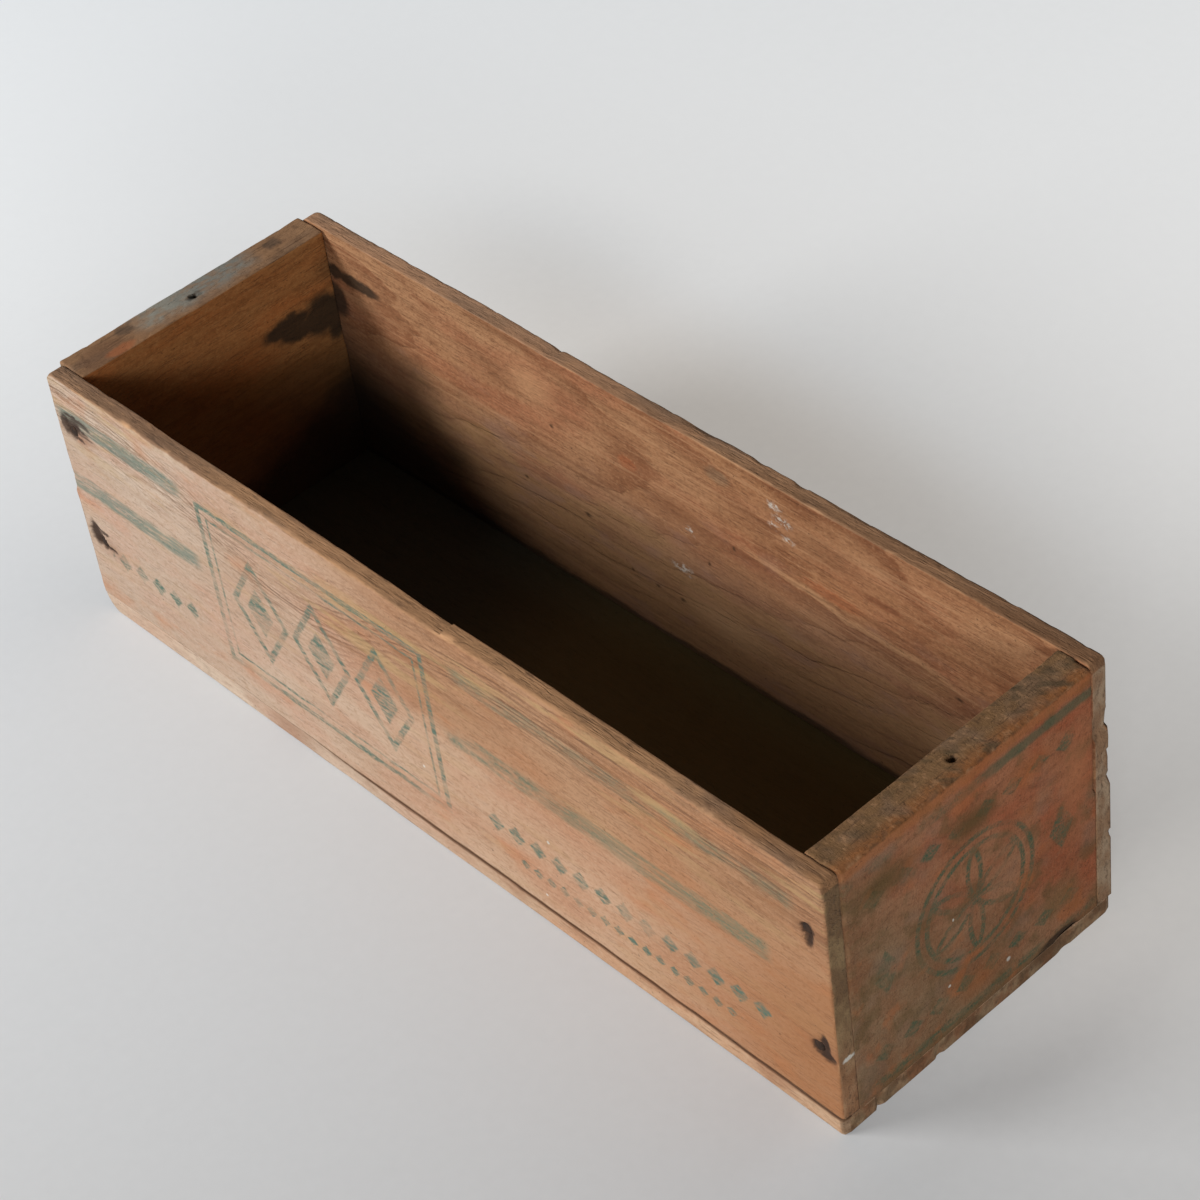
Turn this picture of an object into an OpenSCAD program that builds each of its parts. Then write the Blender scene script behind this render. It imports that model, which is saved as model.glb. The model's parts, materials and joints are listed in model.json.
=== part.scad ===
// Antique cheese box: an open-topped box of five thin boards, nailed together.
// Two thick ends stand between two thin sides, and a thin bottom lies under all four.
// The lid is gone: only the holes of its nails are left in the rims of the ends.
// Units are millimetres. +X runs along the box to the right end, the front side
// faces -Y, +Z is up, and the origin is on the table at the middle of the bottom.

/* [Box] */
// Outer length, along the sides
box_l = 298; // [220:1:380]
// Outer width, across the ends
box_w = 98; // [70:1:140]
// Outer height, with the bottom board
box_h = 88; // [64:1:130]

/* [Boards] */
// Thickness of the two side boards
side_t = 5.5; // [4:0.5:9]
// Thickness of the two end boards
end_t = 11; // [9:0.5:18]
// Thickness of the bottom board
bottom_t = 5.5; // [4:0.5:9]

/* [Wear on the boards] */
// Radius worn on the long edges of the boards
arris_r = 0.9; // [0.4:0.1:1.5]
// Radius worn on the upper corners of the sides, seen from the front
corner_r = 2.4; // [1.5:0.1:5]
// Radius worn on the corners of the bottom board, seen from above
bottom_corner_r = 3; // [1.5:0.5:6]
// Radius worn on the outer edge of the ends' rims
end_rim_r = 1.6; // [0.5:0.1:2.5]
// Length of one hollow worn into a side's rim
hollow_l = 62; // [30:1:70]
// Depth of one hollow worn into a side's rim
hollow_d = 0.9; // [0.3:0.1:1.5]
// Width of one chip broken out of the bottom board's right edge
chip_w = 9; // [5:0.5:14]
// Depth of one chip broken out of the bottom board's right edge
chip_d = 1.2; // [0.5:0.1:2]
// Length lost at the right end of the back side, above its split
split_set = 1.3; // [0.5:0.1:2.5]
// Height of that lost piece, down from the rim
split_h = 27; // [15:1:40]

/* [Nails] */
// Length of a nail, from the top of its head to its point
nail_l = 25; // [18:1:30]
// Diameter of a nail's shank
nail_d = 1.6; // [1.2:0.1:2.2]
// Diameter of a nail's head
nail_head_d = 3.4; // [3:0.1:4.5]
// Thickness of a nail's head
nail_head_t = 0.8; // [0.5:0.1:1.2]
// Length of a nail's point
nail_point_l = 3; // [2:0.5:5]
// Depth that the heads are driven below the wood
nail_sink = 0.6; // [0.2:0.1:1]
// Length of the bruise that the hammer left round each head in the sides
bruise_l = 7; // [5:0.5:10]
// Height of the lower nails of the sides above the table
low_nail_up = 28; // [24:1:34]
// Distance of the upper nails of the sides below the rim
high_nail_down = 19; // [14:1:26]
// Distance of the outer nails of the bottom from the sides' inner faces
bottom_nail_in = 12; // [6:1:20]
// Distance between the line of the side nails and the line of the bottom nails
nail_line_gap = 3; // [2.6:0.1:3.8]
// Clearance between a nail and the hole it has made
nail_fit = 0.05; // [0.02:0.01:0.1]

/* [Lid nail holes] */
// Diameter of the empty hole that the lid's nail left in each end's rim
lid_hole_d = 1.6; // [1.2:0.1:2.2]
// Depth of that hole
lid_hole_depth = 14; // [8:1:20]

/* [Hidden] */
$fn = 48;
LEFT = -1;
RIGHT = 1;
// How far a cutter reaches past the face it cuts
over = 1;
// Height of the sides and ends, which stand on the bottom board
wall_h = box_h - bottom_t;
// Length of the ends, which stand between the sides
inner_w = box_w - 2 * side_t;
// Middle of an end's thickness, and the two lines of nails on either side of it
end_mid_x = box_l / 2 - end_t / 2;
side_nail_x = end_mid_x - nail_line_gap / 2;
bottom_nail_x = end_mid_x + nail_line_gap / 2;
// Heights of the nails in the sides, and places of the nails across the bottom
side_nail_heights = [low_nail_up, box_h - high_nail_down];
bottom_nail_reach = inner_w / 2 - bottom_nail_in;
bottom_nail_places = [-bottom_nail_reach, 0, bottom_nail_reach];
// Radius of the round that cuts a hollow of this length and depth
function hollow_r(length, depth) = (length * length / 4 + depth * depth) / (2 * depth);
// Places along the box, as shares of its half length, of the hollows in each side's rim
front_hollows = [-0.55, 0.1, 0.62];
back_hollows = [-0.2, 0.45];
// Places across the box, as shares of its half width, of the chips in the bottom's right edge
bottom_chips = [-0.78, -0.33, 0.66];
front_colour = [0.76, 0.59, 0.44];
back_colour = [0.62, 0.45, 0.32];
left_end_colour = [0.53, 0.38, 0.24];
right_end_colour = [0.54, 0.35, 0.25];
bottom_colour = [0.66, 0.48, 0.34];
rust_colour = [0.22, 0.16, 0.13];

// What a worn corner of radius r loses, with the corner itself at the origin
module corner_waste(r) {
    difference() {
        translate([-over, -over]) square(r + over);
        translate([r, r]) circle(r);
    }
}

// A rectangle w by h centred on the vertical axis, with worn corners low and high
module worn_rect(w, h, r_low, r_high) {
    difference() {
        translate([-w / 2, 0]) square([w, h]);
        for (side = [0, 1]) mirror([side, 0]) {
            translate([-w / 2, 0]) corner_waste(r_low);
            translate([-w / 2, h]) mirror([0, 1]) corner_waste(r_high);
        }
    }
}

// A long board in the XZ plane, its thickness along Y, worn along every edge
module worn_side(length, thickness, height) {
    intersection() {
        translate([0, thickness / 2, 0]) rotate([90, 0, 0])
            linear_extrude(thickness) worn_rect(length, height, arris_r, corner_r);
        translate([-length / 2, 0, 0]) rotate([90, 0, 90])
            linear_extrude(length) worn_rect(thickness, height, arris_r, arris_r);
        linear_extrude(height) translate([0, -thickness / 2])
            worn_rect(length, thickness, arris_r, arris_r);
    }
}

// A hollow worn into a rim at height h, cut as a wide shallow round across the board
module rim_hollow(h, thickness) {
    r = hollow_r(hollow_l, hollow_d);
    translate([0, 0, h + r - hollow_d]) rotate([90, 0, 0])
        cylinder(r = r, h = thickness + 2 * over, center = true, $fn = 180);
}

// A nail's half outline, with its head's top at the origin and its point down,
// grown sideways and past the point by a gap where it is the hole round a nail
function nail_outline(gap) = [
    [0, 0],
    [nail_head_d / 2 + gap, 0],
    [nail_head_d / 2 + gap, -nail_head_t],
    [nail_d / 2 + gap, -nail_head_t],
    [nail_d / 2 + gap, -(nail_l - nail_point_l)],
    [0, -(nail_l + gap)],
];

module nail() {
    rotate_extrude() polygon(nail_outline(0));
}

// The hole round a nail, with the sunk mouth above its head
module nail_hole() {
    rotate_extrude() polygon(nail_outline(nail_fit));
    cylinder(d = nail_head_d + 2 * nail_fit, h = nail_sink + over);
}

// The long dent that the hammer left round a head, along the board's height
module bruise() {
    width = nail_head_d + 2 * nail_fit;
    linear_extrude(nail_sink + over) {
        square([width, bruise_l - width], center = true);
        for (end = [-1, 1]) translate([0, end * (bruise_l - width) / 2]) circle(d = width);
    }
}

// Puts its children at the nails that hold the front side to one end
module at_front_nails(end) {
    for (z = side_nail_heights)
        translate([end * side_nail_x, nail_sink - box_w / 2, z]) rotate([90, 0, 0]) children();
}

module at_back_nails(end) {
    mirror([0, 1, 0]) at_front_nails(end) children();
}

// Puts its children at the nails that hold the bottom to one end
module at_bottom_nails(end) {
    for (y = bottom_nail_places)
        translate([end * bottom_nail_x, y, nail_sink]) rotate([180, 0, 0]) children();
}

// The front side before it is hung in its place: its outer face looks to -Y
module side_board(hollows) {
    difference() {
        translate([0, (side_t - box_w) / 2, bottom_t]) worn_side(box_l, side_t, wall_h);
        for (place = hollows)
            translate([place * box_l / 2, (side_t - box_w) / 2, 0]) rim_hollow(box_h, side_t);
        for (end = [LEFT, RIGHT]) at_front_nails(end) {
            nail_hole();
            bruise();
        }
    }
}

module front_side() {
    color(front_colour) side_board(front_hollows);
}

// The back side has lost a strip of its right end, where it split along the grain
module back_side() {
    color(back_colour) difference() {
        mirror([0, 1, 0]) side_board(back_hollows);
        translate([box_l / 2 - split_set, box_w / 2 - side_t - over, box_h - split_h])
            cube([split_set + over, side_t + 2 * over, split_h + over]);
    }
}

// One end, between the sides and on the bottom. Its outer rim is worn round
module end_board(end) {
    difference() {
        translate([end * (box_l / 2 - end_t), 0, bottom_t])
            mirror([end == LEFT ? 1 : 0, 0, 0])
            rotate([90, 0, 0])
            linear_extrude(inner_w, center = true)
            difference() {
                translate([end_t / 2, 0]) worn_rect(end_t, wall_h, arris_r, arris_r);
                translate([end_t, wall_h]) rotate(180) corner_waste(end_rim_r);
            }
        at_front_nails(end) nail_hole();
        at_back_nails(end) nail_hole();
        at_bottom_nails(end) nail_hole();
        translate([end * end_mid_x, 0, box_h - lid_hole_depth])
            cylinder(d = lid_hole_d, h = lid_hole_depth + over);
    }
}

module left_end() {
    color(left_end_colour) end_board(LEFT);
}

module right_end() {
    color(right_end_colour) end_board(RIGHT);
}

// The bottom, with worn corners and a chipped right edge
module bottom_board() {
    color(bottom_colour) difference() {
        intersection() {
            linear_extrude(bottom_t) translate([0, -box_w / 2])
                worn_rect(box_l, box_w, bottom_corner_r, bottom_corner_r);
            translate([-box_l / 2, 0, 0]) rotate([90, 0, 90])
                linear_extrude(box_l) worn_rect(box_w, bottom_t, arris_r, arris_r);
        }
        for (place = bottom_chips) {
            r = hollow_r(chip_w, chip_d);
            translate([box_l / 2 + r - chip_d, place * box_w / 2, -over])
                cylinder(r = r, h = bottom_t + 2 * over);
        }
        for (end = [LEFT, RIGHT]) at_bottom_nails(end) nail_hole();
    }
}

module front_left_nails() {
    color(rust_colour) at_front_nails(LEFT) nail();
}

module front_right_nails() {
    color(rust_colour) at_front_nails(RIGHT) nail();
}

module back_left_nails() {
    color(rust_colour) at_back_nails(LEFT) nail();
}

module back_right_nails() {
    color(rust_colour) at_back_nails(RIGHT) nail();
}

module bottom_left_nails() {
    color(rust_colour) at_bottom_nails(LEFT) nail();
}

module bottom_right_nails() {
    color(rust_colour) at_bottom_nails(RIGHT) nail();
}

front_side();
back_side();
left_end();
right_end();
bottom_board();
front_left_nails();
front_right_nails();
back_left_nails();
back_right_nails();
bottom_left_nails();
bottom_right_nails();
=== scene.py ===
# %% [markdown]
# # An antique cheese box
# The object is an open-topped box of five thin softwood boards, nailed together. It is old: the rims are
# worn hollow, the edges are chipped, the nails have rusted and stained the wood, and the printing has faded.
# The frame holds the plain boards and nails at their real places. This lesson gives each of them its looks:
# the boards become finely wrapped surfaces that wear can bite into, and each gets a finish of its own.

# %% Load the frame and keep the box that it fills
import json
import math

import bmesh
import bpy
import numpy as np
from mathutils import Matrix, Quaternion, Vector


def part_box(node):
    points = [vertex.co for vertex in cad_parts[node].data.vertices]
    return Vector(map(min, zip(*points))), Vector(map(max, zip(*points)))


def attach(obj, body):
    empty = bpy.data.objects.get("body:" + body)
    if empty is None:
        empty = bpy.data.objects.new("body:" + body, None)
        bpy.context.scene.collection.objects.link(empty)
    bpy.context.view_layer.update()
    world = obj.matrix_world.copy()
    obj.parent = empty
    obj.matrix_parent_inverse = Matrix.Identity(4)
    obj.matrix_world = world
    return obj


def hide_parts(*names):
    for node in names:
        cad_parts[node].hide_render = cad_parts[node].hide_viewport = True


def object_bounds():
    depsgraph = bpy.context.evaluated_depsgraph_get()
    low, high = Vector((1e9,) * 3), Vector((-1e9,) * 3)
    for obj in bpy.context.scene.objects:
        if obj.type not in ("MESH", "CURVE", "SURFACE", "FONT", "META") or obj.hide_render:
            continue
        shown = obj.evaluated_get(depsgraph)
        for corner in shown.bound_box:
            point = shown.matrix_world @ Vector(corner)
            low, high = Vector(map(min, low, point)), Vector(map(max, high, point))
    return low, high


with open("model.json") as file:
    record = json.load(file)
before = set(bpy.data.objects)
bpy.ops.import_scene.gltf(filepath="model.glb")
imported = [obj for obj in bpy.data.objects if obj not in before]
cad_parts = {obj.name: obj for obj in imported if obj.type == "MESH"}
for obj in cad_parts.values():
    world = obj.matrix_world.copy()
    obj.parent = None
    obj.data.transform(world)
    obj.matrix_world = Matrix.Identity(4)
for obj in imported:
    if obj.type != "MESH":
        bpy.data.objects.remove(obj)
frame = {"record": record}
cad_low, cad_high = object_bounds()
MM = 0.001


def box_mm(node):
    """Lowest and highest corner of a CAD node, in millimetres."""
    low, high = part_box(node)
    return np.array(low) / MM, np.array(high) / MM


half_l, half_w, box_h = np.array(cad_high) / MM
side_t = half_w - box_mm("back_side")[0][1]
end_t = half_l - box_mm("right_end")[0][0]
bottom_t = box_mm("bottom_board")[1][2]
print("box, mm:", round(2 * half_l, 1), "x", round(2 * half_w, 1), "x", round(box_h, 1))

# %% [markdown]
# ## The camera
# The photograph looks down on the box from its front right corner through a long lens. A camera can be placed
# by eye, but here its place was worked out from the box's visible edges, so the render can be laid over the
# photograph. Blender's camera looks along its own -Z, so the view direction is turned into a rotation first,
# and the small tilt of the horizon is a turn about that direction.

# %% Place the camera
CAMERA_PLACE = Vector((513.5, -379.7, 616.1)) * MM
CAMERA_AIM = Vector((-7.7, 22.6, 33.5)) * MM
CAMERA_ROLL = math.radians(-8.56)
CAMERA_LENS = 97.06

camera_data = bpy.data.cameras.new("camera")
camera_data.lens = CAMERA_LENS
camera = bpy.data.objects.new("camera", camera_data)
bpy.context.scene.collection.objects.link(camera)
view_direction = (CAMERA_AIM - CAMERA_PLACE).normalized()
camera.rotation_mode = "QUATERNION"
camera.location = CAMERA_PLACE
camera.rotation_quaternion = view_direction.to_track_quat("-Z", "Y") @ Quaternion((0, 0, 1), CAMERA_ROLL)
bpy.context.scene.camera = camera
print("camera at", [round(v, 3) for v in CAMERA_PLACE])

# %% [markdown]
# ## The light
# The box stands on a white table near a window. The light comes low from the front left, and the shadow that
# the front side throws on the back side is soft, while the left end's shadow edge is sharper. That is what a
# long, slanting strip of bright window does, so one narrow area lamp leans like that strip. A second, weaker
# one at the front right lights the right end and the inside of the left one, and a dim even world is the
# rest. A sun lamp would make every edge hard, and a world alone would leave no shadow at all.

# %% Light the scene
def area_lamp(name, direction, distance, size, power, lean=0.0):
    """A lamp of width and height size that looks at the box's middle, leaning about its own view."""
    lamp_data = bpy.data.lights.new(name, "AREA")
    lamp_data.shape = "RECTANGLE"
    lamp_data.size, lamp_data.size_y = size
    lamp_data.energy = power
    lamp = bpy.data.objects.new(name, lamp_data)
    towards_lamp = Vector(direction).normalized()
    lamp.location = Vector((0, 0, box_h / 2 * MM)) + towards_lamp * distance
    lamp.rotation_mode = "QUATERNION"
    facing = (-towards_lamp).to_track_quat("-Z", "Y")
    lamp.rotation_quaternion = facing @ Quaternion((0, 0, 1), math.radians(lean))
    bpy.context.scene.collection.objects.link(lamp)


ROOM_LIGHT = 0.11
area_lamp("window", (-0.48, -0.74, 0.47), 1.5, (0.80, 0.30), 16.3, lean=-36)
area_lamp("room", (0.73, -0.60, 0.33), 2.0, (0.8, 0.35), 14.5)

scene = bpy.context.scene
scene.view_settings.view_transform = "Standard"
scene.world = bpy.data.worlds.new("room")
scene.world.use_nodes = True
scene.world.node_tree.nodes["Background"].inputs["Color"].default_value = (1, 1, 1, 1)
scene.world.node_tree.nodes["Background"].inputs["Strength"].default_value = ROOM_LIGHT

# %% [markdown]
# ## Shading with plain arithmetic
# A finish is easiest to read as a formula: where the grain is dark, plus where the hands have been. Blender
# builds formulas from nodes, so one small class wraps a node's output and lets Python's own signs add the
# Math nodes. A colour would turn grey in a Math node, so colours are blended by Mix instead.

# %% A field over a surface
class Field:
    """One value that changes over a surface: a node's output, with arithmetic that adds Math nodes."""

    def __init__(self, tree, socket):
        self.tree = tree
        self.socket = socket

    def node(self, kind, settings=None, inputs=None, output=0):
        """Adds any node: its settings first, then its sockets by name or number. Gives one output."""
        made = self.tree.nodes.new(kind)
        for name, value in (settings or {}).items():
            setattr(made, name, value)
        for name, value in (inputs or {}).items():
            if isinstance(value, Field):
                self.tree.links.new(value.socket, made.inputs[name])
            else:
                made.inputs[name].default_value = value
        return Field(self.tree, made.outputs[output])

    def math(self, operation, *values):
        return self.node("ShaderNodeMath", {"operation": operation}, dict(enumerate(values)))

    def __add__(self, other):
        return self.math("ADD", self, other)

    def __sub__(self, other):
        return self.math("SUBTRACT", self, other)

    def __rsub__(self, other):
        return self.math("SUBTRACT", other, self)

    def __mul__(self, other):
        return self.math("MULTIPLY", self, other)

    def __truediv__(self, other):
        return self.math("DIVIDE", self, other)

    def __abs__(self):
        return self.math("ABSOLUTE", self)

    def at_most(self, other):
        return self.math("MINIMUM", self, other)

    def at_least(self, other):
        return self.math("MAXIMUM", self, other)

    __radd__ = __add__
    __rmul__ = __mul__


def paint(red, green, blue):
    """A colour as a paint chart gives it, 0 to 255, turned into the linear light that Blender works in."""
    chart = np.array([red, green, blue]) / 255
    linear = np.where(chart <= 0.04045, chart / 12.92, ((chart + 0.055) / 1.055) ** 2.4)
    return (*linear, 1.0)


# %% [markdown]
# ## The small tools of a finish
# Every finish starts from the place on the board in millimetres, so that a stain or a stripe can be put where
# a ruler says. From there a handful of tools is enough: noise stretched along the grain, a smooth step from
# one limit to another, a band, an oval spot, a mix of two colours, and coats laid over each other in turn.

# %% Places, noise, steps and mixes
DULL_SHEEN = 0.28


def new_finish(name):
    """A new material, and the place on the surface in millimetres."""
    material = bpy.data.materials.new(name)
    material.use_nodes = True
    tree = material.node_tree
    metres = Field(tree, tree.nodes.new("ShaderNodeTexCoord").outputs["Object"])
    place = metres.node("ShaderNodeVectorMath", {"operation": "SCALE"}, {0: metres, "Scale": 1 / MM})
    return material, place


def axes(place):
    """The three numbers of a vector."""
    return [place.node("ShaderNodeSeparateXYZ", {}, {0: place}, output=axis) for axis in range(3)]


def vector(x, y, z):
    """A vector from three fields."""
    return x.node("ShaderNodeCombineXYZ", {}, {0: x, 1: y, 2: z})


def measure(place, name):
    """A measure that the mesh carries on its points."""
    return place.node("ShaderNodeAttribute", {"attribute_name": name}, output="Fac")


def noise(place, size, seed, detail=2.0):
    """Noise about 0.5, with lumps of a size in millimetres along each axis of the place."""
    cells = place.node("ShaderNodeVectorMath", {"operation": "DIVIDE"}, {0: place, 1: size})
    inputs = {"Vector": cells, "W": 7.31 * seed, "Scale": 1.0, "Detail": detail}
    return place.node("ShaderNodeTexNoise", {"noise_dimensions": "4D"}, inputs)


def step(value, start, end):
    """A smooth change from 0 at start to 1 at end."""
    inputs = {"Value": value, "From Min": start, "From Max": end}
    return value.node("ShaderNodeMapRange", {"interpolation_type": "SMOOTHSTEP"}, inputs)


def band(value, middle, half, soft):
    """1 within half of the middle, fading to 0 over a soft edge."""
    return step(abs(value - middle), half + soft / 2, half - soft / 2)


def mix(share, first, second):
    """A colour between first, where the share is 0, and second, where it is 1."""
    return share.node("ShaderNodeMix", {"data_type": "RGBA"}, {0: share, 6: first, 7: second}, output=2)


def between(share, first, second):
    """A set of colours between two sets, colour by colour."""
    return [mix(share, one, other) for one, other in zip(first, second)]


def paints(*charts):
    """A set of colours from their places on a paint chart."""
    return [paint(*chart) for chart in charts]


def layers(colour, *coats):
    """Coats laid over a colour in turn. A coat is a mask and the colour that it brings where it is 1."""
    for mask, tone in coats:
        colour = mix(mask, colour, tone)
    return colour


def exponential(value):
    """The number e to the power of a value, which makes bell curves and slow fades."""
    return value.math("EXPONENT", value)


def length_of(across, up):
    """How long an arrow is that goes so far across and so far up."""
    squared = across * across + up * up
    return squared.math("SQRT", squared)


def any_of(*masks):
    """The strongest of several masks at each place."""
    strongest = masks[0]
    for mask in masks[1:]:
        strongest = strongest.at_least(mask)
    return strongest


def spot(across, up, centre, radii, soft=0.4):
    """An oval: 1 inside, fading to 0 over the outer soft share of its radii."""
    away = length_of((across - centre[0]) / radii[0], (up - centre[1]) / radii[1])
    return step(away, 1.0, 1.0 - soft)


def spots(across, up, ovals, soft=0.5):
    """The strongest of several ovals, each given as centre across, centre up, radius across, radius up."""
    return any_of(*[spot(across, up, oval[:2], oval[2:], soft) for oval in ovals])


def ragged(value, place, size, reach, seed):
    """A coordinate shaken by noise, so that a spot drawn on it gets a torn outline."""
    return value + (noise(place, (size, size, size), seed, 5) - 0.5) * reach


def lay(material, pieces, colour, roughness, height, depth):
    """Feeds a finish to its shader and puts it on its pieces.

    Height 0 to 1 stands for a relief of the given depth in mm.
    """
    tree = material.node_tree
    shader = tree.nodes["Principled BSDF"]
    relief = {"Strength": 1.0, "Distance": depth * MM, "Height": height}
    bump = height.node("ShaderNodeBump", {}, relief, output="Normal")
    for socket, field in (("Base Color", colour), ("Roughness", roughness), ("Normal", bump)):
        tree.links.new(field.socket, shader.inputs[socket])
    shader.inputs["Specular IOR Level"].default_value = DULL_SHEEN
    for piece in pieces:
        piece.data.materials.append(material)
    print(material.name, len(tree.nodes), "nodes")


# %% [markdown]
# ## Old softwood
# Plain softwood is three things at different scales. Growth rings are shells round the tree's heart, which a
# saw cuts into lines or arches; their late wood is a dark line on one side of each ring. Fibres are short
# fine marks along the grain. Slow changes of tone come from the tree and from years of light. All three are
# solid: they run through the board, so a rim shows the continuation of the face beside it.

# %% Rings, fibres and tone
def late_wood(ring, seed):
    """Dark share of a ring number: its fraction rises slowly to the late wood and drops at the next ring.

    Each ring has a strength of its own, a random number drawn from its whole number.
    """
    whole = ring.math("FLOOR", ring)
    phase = ring - whole
    inputs = {"W": whole + seed * 13.7}
    own = ring.node("ShaderNodeTexWhiteNoise", {"noise_dimensions": "1D"}, inputs)
    return step(phase, 0.4, 0.9) * step(phase, 1.0, 0.93) * (own * 0.75 + 0.25)


def old_wood(grain, tones, line_tone, rings, seed, streaky=1.0):
    """Colour and relief of bare wood on grain coordinates: along, across and through the board in mm.

    The tones are deep, middle, pale and blushed. Slow noise moves from middle to pale and blushed wood, and
    broad streaks, a fine tooth and a finer grit move between pale and deep. Late wood, fibres and patches of
    short dashes draw the fine dark lines. Late wood and fibres also stand up a little, where the softer wood
    has shrunk. The streaky share turns down whatever is drawn out along the grain.
    """
    deep, middle, pale, blushed = tones
    slow = noise(grain, (85, 24, 24), seed, 4)
    warm = noise(grain, (38, 12, 12), seed + 1, 3)
    streak = noise(grain, (48, 2.8, 2.8), seed + 2, 4)
    fibre = noise(grain, (9, 0.45, 0.45), seed + 3, 3)
    tooth = noise(grain, (2.6, 1.4, 1.4), seed + 4, 4)
    grit = noise(grain, (0.9, 0.6, 0.6), seed + 7, 3)
    patches = step(noise(grain, (36, 9, 9), seed + 5, 2), 0.42, 0.62)
    dashes = step(noise(grain, (5.5, 0.5, 0.5), seed + 6, 2), 0.57, 0.69)
    colour = layers(
        middle,
        (step(slow, 0.35, 0.65), pale),
        (step(warm, 0.42, 0.68) * 0.7, blushed),
        (step(streak, 0.48, 0.74) * (0.6 * streaky), deep),
        (step(streak, 0.44, 0.26) * (0.5 * streaky), pale),
        (step(tooth, 0.5, 0.72) * 0.5, deep),
        (step(tooth, 0.46, 0.28) * 0.45, pale),
        (rings, line_tone),
        (step(fibre, 0.48, 0.74) * (0.5 * streaky), deep),
        (dashes * (patches * 0.32 + 0.06) * streaky, line_tone),
        (step(grit, 0.52, 0.72) * 0.55, deep),
        (step(grit, 0.47, 0.28) * 0.5, pale))
    height = fibre * 0.4 + rings * 0.6 + streak * 0.6 + tooth * 0.5 + grit * 0.3 - dashes * 0.3
    return colour, height


# %% [markdown]
# ## Wrapping a board
# A board could be a box with a bevel, but a bevel is the same all along, and old edges are not. So each board
# is a grid wrapped round it like paper: columns run round its section, rows run along it, and at each end the
# rows close on the middle line of the end grain. Every grid point first lies on the sharp board. Then it is
# drawn back to the nearest point of a core that is smaller by the edge radius, and pushed out again by that
# radius. On a face that changes nothing, and at an edge it rounds it, with a radius that may change from
# point to point. The push also gives the outward direction, along which dents are cut.

# %% The wrapping grid and its rounding
SIDE = (0, 2, 1)
END = (1, 2, 0)
BOTTOM = (0, 1, 2)
CAP_ROWS = 7


def graded(count, crowding):
    """Shares from 0 to 1, evenly spaced but crowded towards both ends by blending in a half cosine."""
    even = np.linspace(0, 1, count)
    return (1 - crowding) * even + crowding * (0.5 - 0.5 * np.cos(np.pi * even))


def wrapping_grid(size, counts):
    """Shares along, across and through a board on a grid of rows along it and columns round it.

    The columns go up one face, over the rim, down the other face and back under the lower edge. The rows of
    an end cap slide from that outline to the middle line of the end, where opposite columns meet.
    """
    up = graded(counts[1], 0.7)[:-1]
    over = graded(counts[2], 0.6)[:-1]
    across = np.concatenate([up, np.ones_like(over), 1 - up, np.zeros_like(over)])
    through = np.concatenate([np.zeros_like(up), over, np.ones_like(up), 1 - over])
    closing = np.linspace(1, 0, CAP_ROWS)[:-1]
    along = np.concatenate([np.zeros_like(closing), graded(counts[0], 0.2), np.ones_like(closing)])
    towards_middle = np.concatenate([closing, np.zeros(counts[0]), closing[::-1]])[:, None]
    inset = size[2] / (2 * size[1])
    middle = np.clip(across, inset, 1 - inset)
    return np.stack([
        np.broadcast_to(along[:, None], (len(along), len(across))),
        across + (middle - across) * towards_middle,
        through + (0.5 - through) * towards_middle,
    ])


def in_world(parts, order):
    """Arrays along, across and through a board, put in x, y, z order on the last axis."""
    world = np.empty((*parts.shape[1:], 3))
    world[..., list(order)] = np.moveaxis(parts, 0, -1)
    return world


def grid_quads(rows, columns):
    """Corner numbers of the quads of a grid whose last column joins its first."""
    here = np.arange(rows * columns).reshape(rows, columns)
    beside = np.roll(here, -1, axis=1)
    return np.stack([here[:-1], beside[:-1], beside[1:], here[1:]], axis=-1).reshape(-1, 4)


# %% [markdown]
# ## Chance that repeats
# Wear looks random, but the script must give the same box each time. A lattice of seeded random numbers,
# blended smoothly between its corners, gives bumps of any size on whole arrays at once. Stretched along the
# grain, the same noise gives splinters.

# %% Smooth noise and the shapes of wear
LATTICE = 32


def smooth_noise(places, size, seed):
    """Noise from -1 to 1 at places (an array of x, y, z in mm), with lumps about size mm across.

    Random numbers sit at the corners of cells of that size. Inside a cell the eight numbers are blended by
    the smooth step 3t^2 - 2t^3 of the place along each axis. A size may be given for each axis.
    """
    numbers = np.random.default_rng(seed).uniform(-1, 1, (LATTICE, LATTICE, LATTICE))
    cell = places / np.asarray(size, float)
    first = np.floor(cell).astype(int)
    part = cell - first
    part = part * part * (3 - 2 * part)
    total = np.zeros(places.shape[:-1])
    for corner in np.ndindex(2, 2, 2):
        weight = np.prod(np.where(corner, part, 1 - part), axis=-1)
        at = (first + corner) % LATTICE
        total += weight * numbers[at[..., 0], at[..., 1], at[..., 2]]
    return total


def hollows(along, places, length, depth):
    """Depth of shallow round hollows: depth times 1 - (2d / length)^2 within half a length of each place."""
    away = np.min([np.abs(along - place) for place in places], axis=0)
    return depth * np.clip(1 - (2 * away / length) ** 2, 0, None)


def torn(along, start, end, depth):
    """Depth of a torn-off sliver: it deepens evenly from start to end, where the wood broke off square."""
    share = (along - start) / (end - start)
    return np.where((share > 0) & (share < 1), depth * share, 0)


def corner_loss(inset, radius):
    """What a round corner takes off, at an inset from the end: r - sqrt(r^2 - (r - inset)^2)."""
    short = np.clip(radius - inset, 0, radius)
    return radius - np.sqrt(radius ** 2 - short ** 2)


def dents(places, marks):
    """Depth of dents with flat floors.

    Each mark (centre, radii, depth) is a smooth step over its outer half.
    """
    total = np.zeros(places.shape[:-1])
    for centre, radii, depth in marks:
        away = np.linalg.norm((places - np.array(centre)) / np.array(radii), axis=-1)
        share = np.clip((1 - away) / 0.5, 0, 1)
        total = np.maximum(total, depth * share * share * (3 - 2 * share))
    return total


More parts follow.
